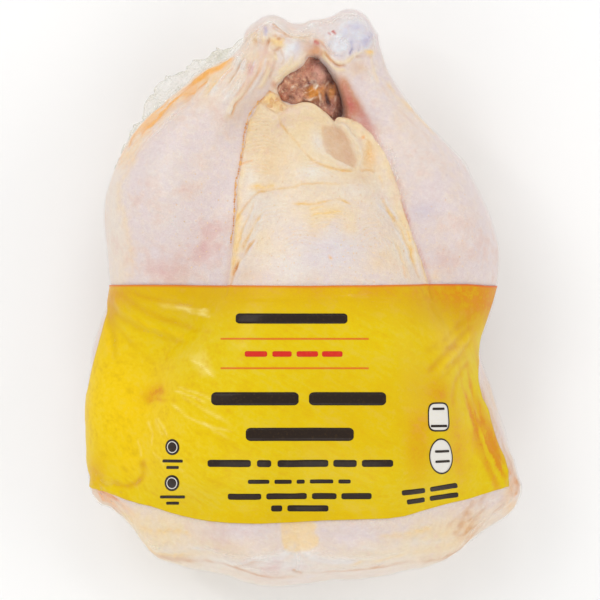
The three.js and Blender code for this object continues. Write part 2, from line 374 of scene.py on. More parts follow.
# ways of naming a node's value so that shader sums can be written as sums
class Wire:
    def __init__(self, paint, socket):
        self.paint = paint
        self.socket = socket

    def math(self, operation, *others, clamp=False):
        settings = {"operation": operation, "use_clamp": clamp}
        return self.paint.add("ShaderNodeMath", settings, dict(enumerate((self,) + others)))

    def __add__(self, other):
        return self.math("ADD", other)

    def __sub__(self, other):
        return self.math("SUBTRACT", other)

    def __mul__(self, other):
        return self.math("MULTIPLY", other)

    def __rsub__(self, other):
        return self.paint.add("ShaderNodeMath", {"operation": "SUBTRACT"}, {0: other, 1: self})

    __radd__ = __add__
    __rmul__ = __mul__

    def ramp(self, low, high):  # 0 below low, 1 above high, smooth between
        return self.paint.add("ShaderNodeMapRange", {"interpolation_type": "SMOOTHSTEP"},
                              {"Value": self, "From Min": low, "From Max": high})

    def clip(self):
        return self.math("ADD", 0.0, clamp=True)


class Paint:
    def __init__(self, name):
        self.material = bpy.data.materials.new(name)
        self.material.use_nodes = True
        self.tree = self.material.node_tree
        self.tree.nodes.clear()

    def add(self, kind, settings=None, inputs=None, output=0):
        node = self.tree.nodes.new(kind)
        for key, value in (settings or {}).items():
            setattr(node, key, value)
        for key, value in (inputs or {}).items():
            if isinstance(value, Wire):
                self.tree.links.new(value.socket, node.inputs[key])
            else:
                node.inputs[key].default_value = value
        return Wire(self, node.outputs[output])

    def place(self):
        return self.add("ShaderNodeTexCoord", output="Object")

    def attribute(self, name):
        return self.add("ShaderNodeAttribute", {"attribute_name": name}, output="Fac")

    def noise(self, where, scale, detail=3.0, rough=0.5):
        return self.add("ShaderNodeTexNoise", None,
                        {"Vector": where, "Scale": scale, "Detail": detail, "Roughness": rough})

    def drawn(self, where, turn, long, scale):  # noise pulled out long in one direction
        pulled = self.add("ShaderNodeMapping", {"vector_type": "TEXTURE"},
                          {"Vector": where, "Rotation": (0, 0, turn), "Scale": (long, 1, 1)})
        return self.noise(pulled, scale, 3, 0.6)

    def mix(self, factor, first, second):
        return self.add("ShaderNodeMix", {"data_type": "RGBA"}, {0: factor, 6: first, 7: second}, 2)

    def bump(self, height, distance, strength=1.0):
        return self.add("ShaderNodeBump", None, {"Height": height, "Distance": distance, "Strength": strength})

    def finish(self, shader):
        out = self.tree.nodes.new("ShaderNodeOutputMaterial")
        self.tree.links.new(shader.socket, out.inputs["Surface"])
        return self.material


def tint(red, green, blue):  # screen colour, 0 to 255, as the shader wants it
    def straight(c):
        c /= 255
        return c / 12.92 if c <= 0.04045 else ((c + 0.055) / 1.055) ** 2.4
    return (straight(red), straight(green), straight(blue), 1.0)


skinTints = {
    "lilac": tint(222, 206, 204), "light": tint(250, 244, 236), "shade": tint(196, 164, 150),
    "pink": tint(216, 176, 172), "cream": tint(234, 211, 170), "white": tint(226, 218, 212),
    "fat": tint(242, 200, 112), "orange": tint(242, 166, 84), "strand": tint(242, 170, 40),
    "violet": tint(176, 172, 208), "ice": tint(229, 231, 232), "crease": tint(206, 132, 62),
    "red": tint(196, 78, 70), "tan": tint(208, 160, 120), "vein": tint(238, 226, 212),
}


def skinFinish():
    m = Paint("moistSkin")
    place = m.place()
    broad = m.noise(place, 55, 4, 0.62) - 0.5
    medium = m.noise(place, 230, 4, 0.6) - 0.5
    fine = m.noise(place, 520, 4, 0.65) - 0.5
    drawn = m.drawn(place, -0.22, 7, 620) - 0.5
    tiny = m.noise(place, 1700, 3, 0.7) - 0.5
    specks = m.add("ShaderNodeTexVoronoi", {"feature": "F1"}, {"Vector": place, "Scale": 300.0, "Randomness": 1.0})
    blotch = broad * 1.7 + medium * 0.9
    grain = medium * 0.9 + fine + drawn * 0.7 + tiny * 0.7
    colour = m.mix((m.attribute("cream") + blotch * 0.6 + grain * 0.4).clip(), skinTints["lilac"], skinTints["cream"])
    # where pale is painted it is mostly paler skin, in a few places painted highlights
    colour = m.mix((m.attribute("pale") + blotch * 0.3).clip(), colour, skinTints["white"])
    colour = m.mix((m.attribute("ice") * (0.9 + grain) + m.attribute("ice") * blotch).clip(), colour, skinTints["ice"])
    colour = m.mix((m.attribute("pink") * 1.1 + blotch * 1.15 + grain * 0.4 - 0.14).clip(), colour, skinTints["pink"])
    veins = m.noise(place, 95, 5, 0.55).math("SUBTRACT", 0.5).math("ABSOLUTE")
    colour = m.mix(veins.ramp(0.03, 0.0) * 0.13, colour, skinTints["vein"])
    # tan, crease, red and violet are mostly the skin's own colours; in the gristle's hollows, along the cavity's lower
    # right and on the right knob's side they are partly painted shade
    for name, share, change in (
            ("tan", 1.0, grain), ("fat", 1.0, grain * 1.3), ("orange", 1.0, grain * 1.3), ("violet", 0.9, grain * 1.2),
            ("crease", 0.9, fine * 2.2), ("strand", 0.95, grain), ("red", 0.9, grain)):
        colour = m.mix((m.attribute(name) * (share + change)).clip(), colour, skinTints[name])
    colour = m.mix(specks.ramp(0.12, 0.03) * (0.1 + medium * 1.6).clip(), colour, skinTints["fat"])
    fleck = tiny + fine * 0.7 + drawn * 0.35
    colour = m.mix((fleck * 1.1).clip(), colour, skinTints["light"])
    colour = m.mix((fleck * -0.7).clip(), colour, skinTints["shade"])
    height = tiny * 0.3 + fine * 0.7 + medium * 0.8 + drawn * 0.35 - specks.ramp(0.2, 0.0) * 0.2
    normal = m.bump(height, 0.0006, 0.6)
    return m.finish(m.add("ShaderNodeBsdfPrincipled", {"subsurface_method": "RANDOM_WALK"}, {
        "Base Color": colour, "Roughness": (0.42 + grain * 0.2).clip(), "Normal": normal, "Subsurface Weight": 0.1,
        "Subsurface Radius": (0.006, 0.003, 0.002), "Subsurface Scale": 0.16, "Specular IOR Level": 0.35}))


def filmFinish(name, hazeAndGlint, gloss, mistAndGlint):
    m = Paint(name)
    place = m.place()
    ripple = m.noise(place, 130, 3, 0.5) * 0.7 + m.noise(place, 520, 2, 0.5) * 0.3
    normal = m.bump(ripple, 0.0008, 0.4)
    rough = gloss + 0.2 - m.attribute("hazeAndGlint").ramp(0.02, 0.2) * 0.2
    sheen = m.add("ShaderNodeBsdfAnisotropic", {"distribution": "GGX"},
                  {"Color": (1, 1, 1, 1), "Roughness": rough, "Normal": normal})
    lit = m.add("ShaderNodeBsdfDiffuse", None, {"Color": mistAndGlint, "Roughness": 0.5, "Normal": normal})
    through = m.add("ShaderNodeBsdfTranslucent", None, {"Color": mistAndGlint, "Normal": normal})
    milk = m.add("ShaderNodeMixShader", None, {0: 0.4, 1: lit, 2: through})
    clear = m.add("ShaderNodeBsdfTransparent", None, {"Color": (1, 1, 1, 1)})
    # where the attribute asks for it the film turns milky white: clouded film, and on short bright streaks painted
    # glints
    fog = m.attribute("hazeAndGlint") * (0.4 + m.noise(place, 260, 3, 0.6) * 1.2) * hazeAndGlint
    fog = (fog + m.drawn(place, 0.9, 10, 700).ramp(0.6, 0.76) * 0.05).clip()
    body = m.add("ShaderNodeMixShader", None, {0: fog, 1: clear, 2: milk})
    facing = m.add("ShaderNodeLayerWeight", None, {"Blend": 0.5, "Normal": normal}, "Facing")
    share = (facing.math("POWER", 5.0) * 0.3 + 0.02).clip()
    return m.finish(m.add("ShaderNodeMixShader", None, {0: share, 1: body, 2: sheen}))


printTints = {
    "yellow": tint(226, 193, 6), "bright": tint(241, 201, 0), "ochre": tint(213, 165, 16),
    "orange": tint(216, 140, 16), "green": tint(216, 193, 14), "red": tint(224, 62, 56),
    "white": tint(252, 236, 150),
}


def printFinish():
    m = Paint("printedYellow")
    place = m.place()
    broad = m.noise(place, 40, 4, 0.6) - 0.5
    medium = m.noise(place, 110, 4, 0.6) - 0.5
    fine = m.noise(place, 420, 4, 0.65) - 0.5
    drawn = m.drawn(place, -0.5, 6, 420) - 0.5
    tiny = m.noise(place, 1600, 3, 0.7) - 0.5
    mottle = broad * 0.8 + medium * 0.7 + fine * 0.7 + drawn * 0.6 + tiny * 0.7
    colour = m.mix((0.35 + mottle * 1.2).clip(), printTints["yellow"], printTints["green"])
    # the bright and ochre attributes are partly painted light and painted shade on the band's ridges, grooves and bulge
    colour = m.mix((m.attribute("bright") + broad * 0.4 + fine * 0.3).clip(), colour, printTints["bright"])
    colour = m.mix((m.attribute("ochre") * (1 + mottle) + mottle * 0.5).clip(), colour, printTints["ochre"])
    colour = m.mix((m.attribute("orange") * (1 + mottle * 2.4)).clip(), colour, printTints["orange"])
    # where the white attribute is painted, the pale streaks are painted highlights
    pale = m.attribute("white") * (0.4 + m.noise(place, 500, 3, 0.6)) * 0.85
    colour = m.mix(pale.clip(), colour, printTints["white"])
    colour = m.mix(((medium + fine + drawn) * 0.22).clip(), colour, printTints["white"])
    colour = m.mix(((fine + medium * 1.3 + drawn * 1.3) * -1.1).clip(), colour, printTints["ochre"])
    colour = m.mix(m.attribute("redLine") * 0.8, colour, printTints["red"])
    ripple = m.noise(place, 120, 3, 0.5) * 0.6 + fine * 0.15
    normal = m.bump(ripple, 0.0009, 0.3)
    return m.finish(m.add("ShaderNodeBsdfPrincipled", None, {
        "Base Color": colour, "Roughness": (0.38 + fine * 0.12).clip(), "Normal": normal,
        "Coat Weight": 0.12, "Coat Roughness": 0.14, "Specular IOR Level": 0.06}))


def inkFinish(name, colour, worn):
    m = Paint(name)
    place = m.place()
    wear = m.noise(place, 900, 3, 0.6)
    shade = m.mix(wear.ramp(0.5, 0.85) * 0.3, colour, worn)
    normal = m.bump(m.noise(place, 120, 3, 0.5), 0.0009, 0.2)
    return m.finish(m.add("ShaderNodeBsdfPrincipled", None, {
        "Base Color": shade, "Roughness": 0.4, "Normal": normal, "Coat Weight": 0.2, "Coat Roughness": 0.14,
        "Specular IOR Level": 0.1}))


def meatFinish():
    m = Paint("rawMeat")
    place = m.place()
    broad = m.noise(place, 160, 4, 0.6)
    fine = m.noise(place, 700, 4, 0.6)
    colour = m.mix(broad.ramp(0.36, 0.66), tint(152, 94, 70), tint(200, 138, 104))
    colour = m.mix((m.attribute("pale") * (0.5 + fine * 0.8)).clip(), colour, tint(226, 168, 148))
    glint = m.noise(place, 380, 4, 0.7)
    # light flecks where the glint noise is high and dark ones where it is low, on the noise that also raises the bump:
    # painted glints and painted shade
    for noise, start, end, over in (
            (glint, 0.55, 0.68, tint(246, 206, 168)), (glint, 0.45, 0.34, tint(130, 66, 48)),
            (fine, 0.54, 0.7, tint(152, 76, 54)), (fine, 0.44, 0.3, tint(236, 190, 150))):
        colour = m.mix(noise.ramp(start, end) * 0.5, colour, over)
    # dark is painted shade, in crevices and beside the cavity's right wall
    for name, share, over in (
            ("fat", 0.6 + fine * 0.9, tint(216, 142, 62)), ("red", 0.6 + fine * 0.8, tint(176, 70, 54)),
            ("white", 1.0, tint(250, 232, 210)), ("dark", 0.8 + fine * 0.4, tint(110, 64, 54))):
        colour = m.mix((m.attribute(name) * share).clip(), colour, over)
    normal = m.bump(fine * 0.6 + broad * 0.4 + glint * 0.6, 0.0014, 0.8)
    return m.finish(m.add("ShaderNodeBsdfPrincipled", {"subsurface_method": "RANDOM_WALK"}, {
        "Base Color": colour, "Roughness": 0.22, "Normal": normal, "Subsurface Weight": 0.12,
        "Subsurface Radius": (0.004, 0.001, 0.0008), "Subsurface Scale": 0.25}))


def grainFinish(name, dark, light):
    m = Paint(name)
    place = m.place()
    colour = m.mix(m.noise(place, 260, 3, 0.6).ramp(0.35, 0.65), dark, light)
    normal = m.bump(m.noise(place, 2400, 2, 0.5), 0.0002, 0.5)
    return m.finish(m.add("ShaderNodeBsdfPrincipled", None, {
        "Base Color": colour, "Roughness": 0.35, "Normal": normal, "Specular IOR Level": 0.4}))


finishes = {
    "skin": skinFinish(),
    "film": filmFinish("clearFilm", 0.55, 0.07, tint(250, 248, 242)),
    "frill": filmFinish("crumpledFilm", 0.9, 0.09, tint(238, 239, 228)),
    "print": printFinish(),
    "darkInk": inkFinish("darkInk", tint(40, 28, 20), tint(96, 72, 30)),
    "orangeInk": inkFinish("orangeInk", tint(222, 116, 28), tint(232, 160, 30)),
    "redInk": inkFinish("redInk", tint(210, 44, 30), tint(222, 110, 30)),
    "whiteInk": inkFinish("whiteInk", tint(228, 224, 216), tint(226, 214, 150)),
    "meat": meatFinish(), "pore": grainFinish("skinPores", tint(226, 190, 150), tint(240, 214, 176)),
    "bead": grainFinish("creaseBeads", tint(204, 126, 48), tint(234, 182, 106)),
}
print("finishes ready")

bagMesh = {
    "columns": 124, "endRows": 18, "middleRows": 40, "topShare": 0.22,
    "finer": [  # each box halves the spacing again: low corner, high corner
        [((-120, -140, 26), (120, 140, 130))],
        [((-120, 3, 44), (120, 140, 130)), ((-120, -140, 30), (120, -90, 130)), ((86, -90, 42), (120, -64, 110))],
        [((-38, 80, 58), (38, 130, 130))]],
    "foldLine": [(-26, 112), (-36, 103), (-49, 94), (-62, 83), (-72, 73), (-80, 62)],  # beside the left leg
    "foldWide": 6.5,
}


def hiddenSkin(c):  # skin under the breast skin and under the meat needs no fine faces
    return (outlineGap(c, breastOutline) < -4) | (outlineGap(c, bird["cavity"]) < -3.5)


def foldSkin(c):
    return (nearPath(c, bagMesh["foldLine"], bagMesh["foldWide"])[0] < bagMesh["foldWide"]) & (c[:, 2] > 30)


def makeBagMesh(bare):  # bare: the bird's own mesh, otherwise the film's
    size = bagMesh
    v = np.arange(size["columns"]) / size["columns"]
    phi = -np.pi / 2 + 2 * np.pi * v + size["topShare"] * np.sin(2 * np.pi * v)
    start, end, ends = spine["start"], spine["end"], size["endRows"]
    tip = np.linspace(np.pi / 2, 0, ends, endpoint=False)
    lift = np.concatenate([-tip, np.zeros(size["middleRows"] + 1), tip[::-1]])[1:-1]
    middle = np.linspace(start, end, size["middleRows"] + 1)
    y = np.concatenate([np.full(ends, start), middle, np.full(ends, end)])[1:-1]
    origins = np.repeat(spinePoint(y.astype(float))[:, None], len(phi), 1)
    flat = np.cos(lift)[:, None]
    directions = np.stack([flat * np.cos(phi), np.repeat(np.sin(lift)[:, None], len(phi), 1), flat * np.sin(phi)], -1)
    grid = castRays(origins.reshape(-1, 3), directions.reshape(-1, 3), 128, 110)
    rows, columns = len(y), len(phi)
    mesh = bmesh.new()
    verts = [mesh.verts.new(p) for p in grid]
    for face in sheetFaces(rows, columns, True)[:, ::-1]:
        mesh.faces.new([verts[i] for i in face])
    for first, turn in ((0, 1), ((rows - 1) * columns, -1)):
        pole = mesh.verts.new(grid[first:first + columns].mean(0))
        for j in range(columns):
            pair = (verts[first + j], verts[first + (j + 1) % columns])
            mesh.faces.new((pole,) + pair[::turn][::-1])
    for level, boxes in enumerate(size["finer"]):
        faces = list(mesh.faces)
        c = np.array([face.calc_center_median()[:] for face in faces])
        inside = np.any([np.all((c > low) & (c < high), axis=1) for low, high in boxes], axis=0)
        if bare and level:
            inside &= ~hiddenSkin(c)
        if bare and level == 2:
            inside |= foldSkin(c)
        chosen = {edge for face, take in zip(faces, inside) if take for edge in face.edges}
        bmesh.ops.subdivide_edges(mesh, edges=list(chosen), cuts=1, use_grid_fill=True)
    bmesh.ops.recalc_face_normals(mesh, faces=mesh.faces)
    mesh.verts.index_update()
    points = np.array([v.co[:] for v in mesh.verts])
    faces = [[v.index for v in face.verts] for face in mesh.faces]
    mesh.free()
    for _ in range(3):
        away, normals = fieldNormals(points)
        points -= normals * (away * 0.9)[:, None]
    return points, fieldNormals(points)[1], faces


# ridges and grooves of the skin: path as x, y, x, y, height, half width, what it paints, lean to one side
legStrokes = [
    ([-33.1, 104.2, -38.8, 100.3, -44.5, 97.2, -49.3, 93.7], 0.9, 1.3, "strand 1.3"),
    ([-47.5, 92.8, -53, 86.6, -60, 82, -68, 76], 0.3, 0.8, "strand 0.7"),
    ([-34, 104, -41.5, 100, -49, 94.5, -55.5, 88.6, -62.5, 83.4, -69, 77.5, -74, 71, -78.9, 62.5], 1.1, 2.4,
     "orange 0.3 fat 0.25"), ([-46, 97, -50.5, 93.5, -55.5, 88.6, -61, 84.5], 0.4, 3, "orange 0.25"),
    ([-34.2, 103, -39, 99.4, -44.5, 95.6, -49, 91.4, -53, 87], -0.5, 1.1, "orange 0.5 strand 0.5 fat 0.3"),
    ([-44.9, 94.2, -52.3, 85.5, -61.5, 80.7, -72.4, 70.6, -78, 63.7], -1.1, 0.8, "crease 0.4 strand 0.5"),
    ([-28.3, 107.3, -30.1, 102, -33.6, 97.7, -38.8, 90.7, -40.5, 85.5], 0.9, 1.3, "pale 0.8", 0.2),
    ([-30.1, 101.2, -34.4, 96.8, -37.9, 91.6], -0.4, 0.7, "orange 0.2"),
    ([-26.6, 103.8, -26.6, 99.4, -28.3, 94.2, -31.8, 88.9, -35.3, 83.7], 0.8, 1.1, "pale 0.7", 0.2),
    ([-18.7, 107.3, -21.4, 97.7, -26.6, 89.8, -31, 82.8, -34, 76.7], 1.1, 1.2, "cream 0.7 pale 0.3", 0.25),
    ([-17.8, 104.6, -19.9, 96.8, -24.2, 89.8, -29.5, 82.8, -32.7, 76.6], -0.7, 0.5, "orange 0.35 tan 0.25"),
    ([-23, 104, -23.8, 97, -26.5, 91, -30, 86], -0.5, 0.7, "orange 0.1 pink 0.3"),
    ([-14.4, 106.4, -15.3, 99.4, -17, 94.2, -19.6, 89.8], 0.6, 1, "cream 0.5", 0.2),
    ([-12.3, 105, -13, 99, -14.6, 94], -0.4, 0.6, "tan 0.3"), ([-22, 101, -23.2, 95, -26, 89], -0.3, 0.7, "pink 0.4"),
    ([-24.5, 106.5, -28.2, 99, -32, 93, -36, 88], 0.5, 0.5, "pale 0.8"),
    ([-26, 105.5, -29.5, 98.5, -33.2, 92.5], -0.4, 0.45, "tan 0.3"),
    ([-20.4, 105, -23, 98, -27.6, 91.5, -31.5, 85.5], 0.5, 0.45, "pale 0.7"),
    ([-16, 105.5, -17.4, 99, -20.4, 92.6, -24, 87], 0.4, 0.5, "pale 0.7"),
    ([-14.6, 104, -16.4, 98, -19, 92.6], -0.4, 0.4, "tan 0.25"),
    ([-36.5, 101.5, -41.5, 96, -46, 90, -48.5, 85], 0.4, 0.9, "pale 0.5"),
    ([-34.5, 99.5, -39.5, 93.5, -43, 87.5], -0.3, 0.6, "fat 0.3"),
    ([-36, 102.4, -44, 96.6, -51, 90, -57, 84, -65, 79, -73, 69], 0.5, 0.8, "strand 0.9"),
    ([-40, 101.6, -48, 96.4, -56, 89.6, -63, 83.6, -70, 76.8], -0.3, 0.4, "cream 0.9 pale 0.4"),
    ([-37, 104, -46, 98.6, -54, 92.6, -60, 87.4, -68, 80], 0.3, 0.6, "strand 0.6"),
    ([-52, 89.6, -58, 84.2, -66, 77.4, -74, 67.6], -0.4, 0.5, "crease 0.3 strand 0.5"),
    ([-78, 61, -81.5, 45.3, -78, 27.9, -74.6, 10.5], 0.25, 1.5, "fat 0.12"),
    ([28.8, 108.6, 29.5, 102.8, 31, 97.7, 33.1, 92.6], 0.5, 0.9, "cream 0.4"),
    ([29.6, 97.2, 30.3, 93.3, 31, 89.4], 0.4, 0.8, "pale 0.4"),
    ([34.9, 96.4, 41.9, 87.6, 50.6, 78.9, 59.3, 69.3], 0.35, 1, "fat 0.25", 0.2),
    ([33.5, 94, 40, 84.5, 48, 76.5, 56, 68], -0.25, 0.7, "crease 0.1"),
    ([24, 100, 26.5, 92, 30, 84, 34, 76], 0.3, 1.4, "pink 0.2"),
    # edges of skin under the right leg end
    ([4.1, 112.9, 7, 111.5, 9.9, 108.6, 13.5, 105.7], 0.6, 0.7, "cream 0.6 red 0.25"),
    ([7, 109.3, 9.9, 104.9, 14.2, 102, 18.6, 102.4, 23.7, 106.4, 27.3, 107.5], 0.8, 0.8, "cream 0.8", 0.3),
    ([8.4, 107.6, 11.5, 103.6, 14.6, 101, 19, 101.2], -0.6, 0.6, "crease 0.5"),
    ([7.6, 106.5, 10.5, 102.4, 14.4, 99.2, 19, 99], 0.4, 0.8, "cream 0.5"),
    ([19.6, 105.4, 21, 108.5, 20.2, 112], -0.8, 0.5, "violet 0.22 tan 0.15"),
    ([23.4, 107, 24.2, 109.5, 22.6, 112.5], -0.8, 0.5, "violet 0.25"),
    ([20.6, 108.2, 23.6, 109], -0.6, 0.5, "violet 0.2"), ([25, 107.8, 28.4, 109.4, 30, 112.6], 0.5, 0.6, "ice 0.7"),
    ([12, 106.6, 15, 105, 18.6, 105.2], -0.6, 0.5, "violet 0.12"),
    ([11.6, 117.9, 12.6, 116.7, 13.9, 115.3], 0.3, 0.45, "red 1"),
    ([10, 117.2, 10.9, 116.2, 11.8, 115.2], 0.2, 0.4, "red 0.8"),
    ([4.6, 111.9, 5.6, 111, 6.4, 110], 0.3, 0.5, "red 0.9"),
    ([12, 113.4, 17, 114.6, 22, 114, 26, 112], 0.6, 0.7, "ice 0.8"),
    ([10.6, 108.6, 11.6, 111.6, 14.6, 113.4], -0.6, 0.5, "violet 0.15"),
    ([24.6, 109.6, 27, 107.6, 30.6, 107], 0.5, 0.6, "cream 0.9 fat 0.3"),
    ([9, 112, 12.4, 110, 13, 107], 0.5, 0.7, "pale 0.9"), ([22, 104.6, 26, 105.4, 30.4, 105], -0.4, 0.6, "tan 0.3"),
    # streaks over the left leg end
    ([-24, 115, -20, 113.4, -16.6, 112.4], 0.5, 0.6, "cream 0.9"),
    ([-23, 112.6, -19.6, 111.2, -16, 110.8], -0.4, 0.5, "tan 0.35"),
    ([-9.4, 117, -6.6, 114.6, -3, 114], -0.4, 0.5, "tan 0.4"),
    ([-10.4, 108.6, -8.6, 104.6, -9.8, 100.4], -0.5, 0.5, "tan 0.35"),
    ([-4, 106, -6.6, 101.4, -10.4, 97.4], 0.5, 0.8, "cream 0.9"),
    ([-14.2, 108, -12.4, 106, -11.6, 103], 0.4, 0.6, "cream 0.8"),
    ([-14, 121, -9.5, 118.5, -5.3, 116.6], 0.5, 0.6, "tan 0.6"),
    ([-14, 119, -10, 117, -6.4, 115.6], -0.5, 0.5, "crease 0.35"),
    ([-17, 120, -16.4, 117, -16.6, 114], -0.6, 0.9, "violet 0.35"),
    ([-20, 118, -19.4, 114, -20.2, 110], 0.5, 1.1, "pale 0.8"),
    ([-8.4, 114.5, -7, 109, -8.6, 103], 0.4, 1.1, "pale 0.9")
]
legSpots = [  # x, y, half width, half length, what it paints, turn, height
    (-13.4, 119.3, 4.6, 4.6, "ice 0.6 cream 0.3", 0, 0.9), (-5.4, 119.5, 2.2, 3.2, "pale 0.5 cream 0.3", 0, -1),
    (-19.7, 114.2, 4.2, 2.6, "cream 0.9 fat 0.25", 20, 0.3), (-9, 116.5, 6, 1.6, "cream 0.8 orange 0.12", -22, 0.5),
    (-6, 98, 4.5, 7.5, "cream 0.6", -35, 0.3), (-17, 105, 5, 6, "cream 0.6 pink 0.25", -20),
    (-1, 115, 6, 4, "cream 0.5 tan 0.15"), (-24, 104, 8, 7, "cream 0.5 pink 0.15", -30),
    (-30, 92, 7, 9, "cream 0.25", -35), (3.3, 121.5, 2.4, 2.4, "ice 0.6", 0, 0.9),
    (21.5, 116.5, 8, 7.5, "ice 0.9 violet 0.12", 0, 0.8),
    (-12.2, 112.4, 3.2, 2.2, "cream 0.8 fat 0.2 tan 0.15", -30, 1),
    # on this line and the next, the sunken crease and tan marks are painted shade in the gristle's crevices
    (-9.6, 110.4, 1.8, 2, "cream 0.6 fat 0.2", 20, 0.9), (-15.2, 112, 0.6, 1.4, "crease 0.6 tan 0.5", -15, -1.2),
    (-11.4, 108.4, 1.5, 0.5, "crease 0.4 tan 0.5", 15, -1), (-16.4, 116.4, 1.5, 2, "violet 0.25", 0, 0.3),
    (1, 110.5, 3.4, 3.4, "tan 0.3"), (-5.4, 109.3, 4, 5.4, "ice 0.8 cream 0.2", -20, 1),
    (-2.6, 109, 1.6, 3.4, "violet 0.3", -15), (14.6, 109.3, 3.2, 3.8, "ice 0.9 violet 0.15", 20, 1.3),
    # the violet on the right side of the right leg end's knob, on this line and the next, is partly its colour and
    # partly painted shade
    (20.6, 109.4, 1.9, 3, "violet 0.35 ice 0.3", 0, 0.6), (26.4, 111.3, 2.6, 3.6, "violet 0.6", -20, 0.9),
    (23, 117.5, 5.2, 2.6, "violet 0.3", 15, 0.2), (28.6, 114.8, 1.8, 3, "violet 0.4", -20, 0.5),
    (28.5, 107, 2.6, 1.2, "fat 0.7", 0, 0.4), (7.6, 117.6, 3.4, 2.6, "pale 0.7", 0, 0.2),
    (5.4, 110.8, 1.2, 1.4, "red 0.45 tan 0.4", 0, 0.2), (6, 107.6, 1.3, 1.6, "tan 0.8 orange 0.3"),
    (24.5, 78.5, 2.6, 7.5, "pink 0.9 red 0.4", 38, -0.5), (21.2, 84.5, 2.6, 6, "tan 0.9 red 0.35", 25, -0.4),
    (18.8, 91, 1.5, 5.5, "tan 0.7 red 0.2", 22), (28, 72.5, 2.2, 5, "pink 0.5 tan 0.2", 38),
    (4.6, 107.4, 3.2, 2.8, "tan 0.75 crease 0.2 red 0.12", -20, -0.4), (2, 104.8, 2.6, 1.4, "tan 0.5", 35, -0.3),
    (7.4, 105.6, 1, 2.2, "crease 0.4", -30, -0.4), (-12.6, 92.6, 1.4, 1.4, "tan 0.9 red 0.3"),
    (24, 100.5, 4, 3.4, "tan 0.45 cream 0.3"), (17, 98, 5, 4, "cream 0.35"),
    (-46, 93, 5.5, 3.6, "cream 0.4 orange 0.12", 35), (-42.4, 90, 6.5, 6.5, "cream 0.45", 35),
    (-20, 100, 7, 8, "pink 0.35 cream 0.2"), (-49, 47, 7, 3.5, "pink 0.45 cream 0.2"), (-42, 31, 9, 4, "pink 0.6"),
    (-43, 20, 10, 6, "pink 0.6"), (-60, 12, 12, 6, "pink 0.5"), (-72, 48, 7, 9, "pink 0.25"),
    (-62, 56, 10, 10, "pale 0.3"), (-56, 34, 8, 8, "pale 0.25"), (67, 32, 8, 5, "pink 0.45 cream 0.2"),
    (60, 17, 10, 5, "pink 0.4"), (78, 22, 6, 12, "pink 0.3"), (52, 38, 7, 4, "violet 0.3"),
    (50, 62, 8, 10, "pale 0.25", 30), (46, 80, 6, 10, "cream 0.25", 35), (41, 71, 5, 6, "fat 0.1"),
    (57, 10, 3, 3, "fat 0.2"), (-83.5, 30, 4.5, 45, "fat 0.04 cream 0.4 pale 0.55", 3), (-79, 10, 6, 14, "fat 0.1"),
    (-28, -100, 18, 6.5, "pink 0.25 violet 0.16 cream -0.3", 5), (22, -101, 18, 5, "violet 0.16 cream -0.25"),
    (-40, -108, 14, 4, "cream 0.25", 8), (-30, -116, 16, 5, "pale 0.5 cream 0.2", 5),
    (30, -114, 26, 6, "pale 0.3 cream 0.35", 5), (-66, -100, 16, 9, "cream 0.5", -30),
    # the pale patch in the middle of this line is partly paler skin and partly a painted highlight of the film
    (54, -105, 24, 9, "cream 0.5", 14), (-6, -116, 10, 4, "pale 0.7", 0, 0.3), (-15, -119, 6, 5, "pink 0.4"),
    (-25, -117, 3, 4, "pink 0.3"), (4, -119, 5, 3, "pink 0.2"),
    (73, -97, 5, 5, "fat 0.2 tan 0.22 orange 0.08", 20, 0.3), (64, -102, 6, 4, "fat 0.2", 25),
    (73, -87, 7, 2, "tan 0.2", 20), (-87, -88, 4.5, 3, "orange 0.5 cream 0.6", -25, 0.4), (-30, 95, 6, 6, "fat 0.14"),
    (-63, 21, 12, 9, "violet 0.07 pink 0.14"), (-32, -109, 8, 4, "tan 0.16"),
    (-91, -82, 3, 5, "orange 0.4 cream 0.3"), (-78, -92, 5, 2, "orange 0.3", -25),
    (90, -84, 4, 5, "cream 0.4 orange 0.15", 0, 0.3), (92, -92, 4, 4, "fat 0.35 orange 0.15"),
    (86, 10, 4, 40, "pink 0.15"), (86, -42, 6, 26, "tan 0.3 cream 0.4", -14),
    (93, -70, 4, 14, "tan 0.35 cream 0.3", -12)
]
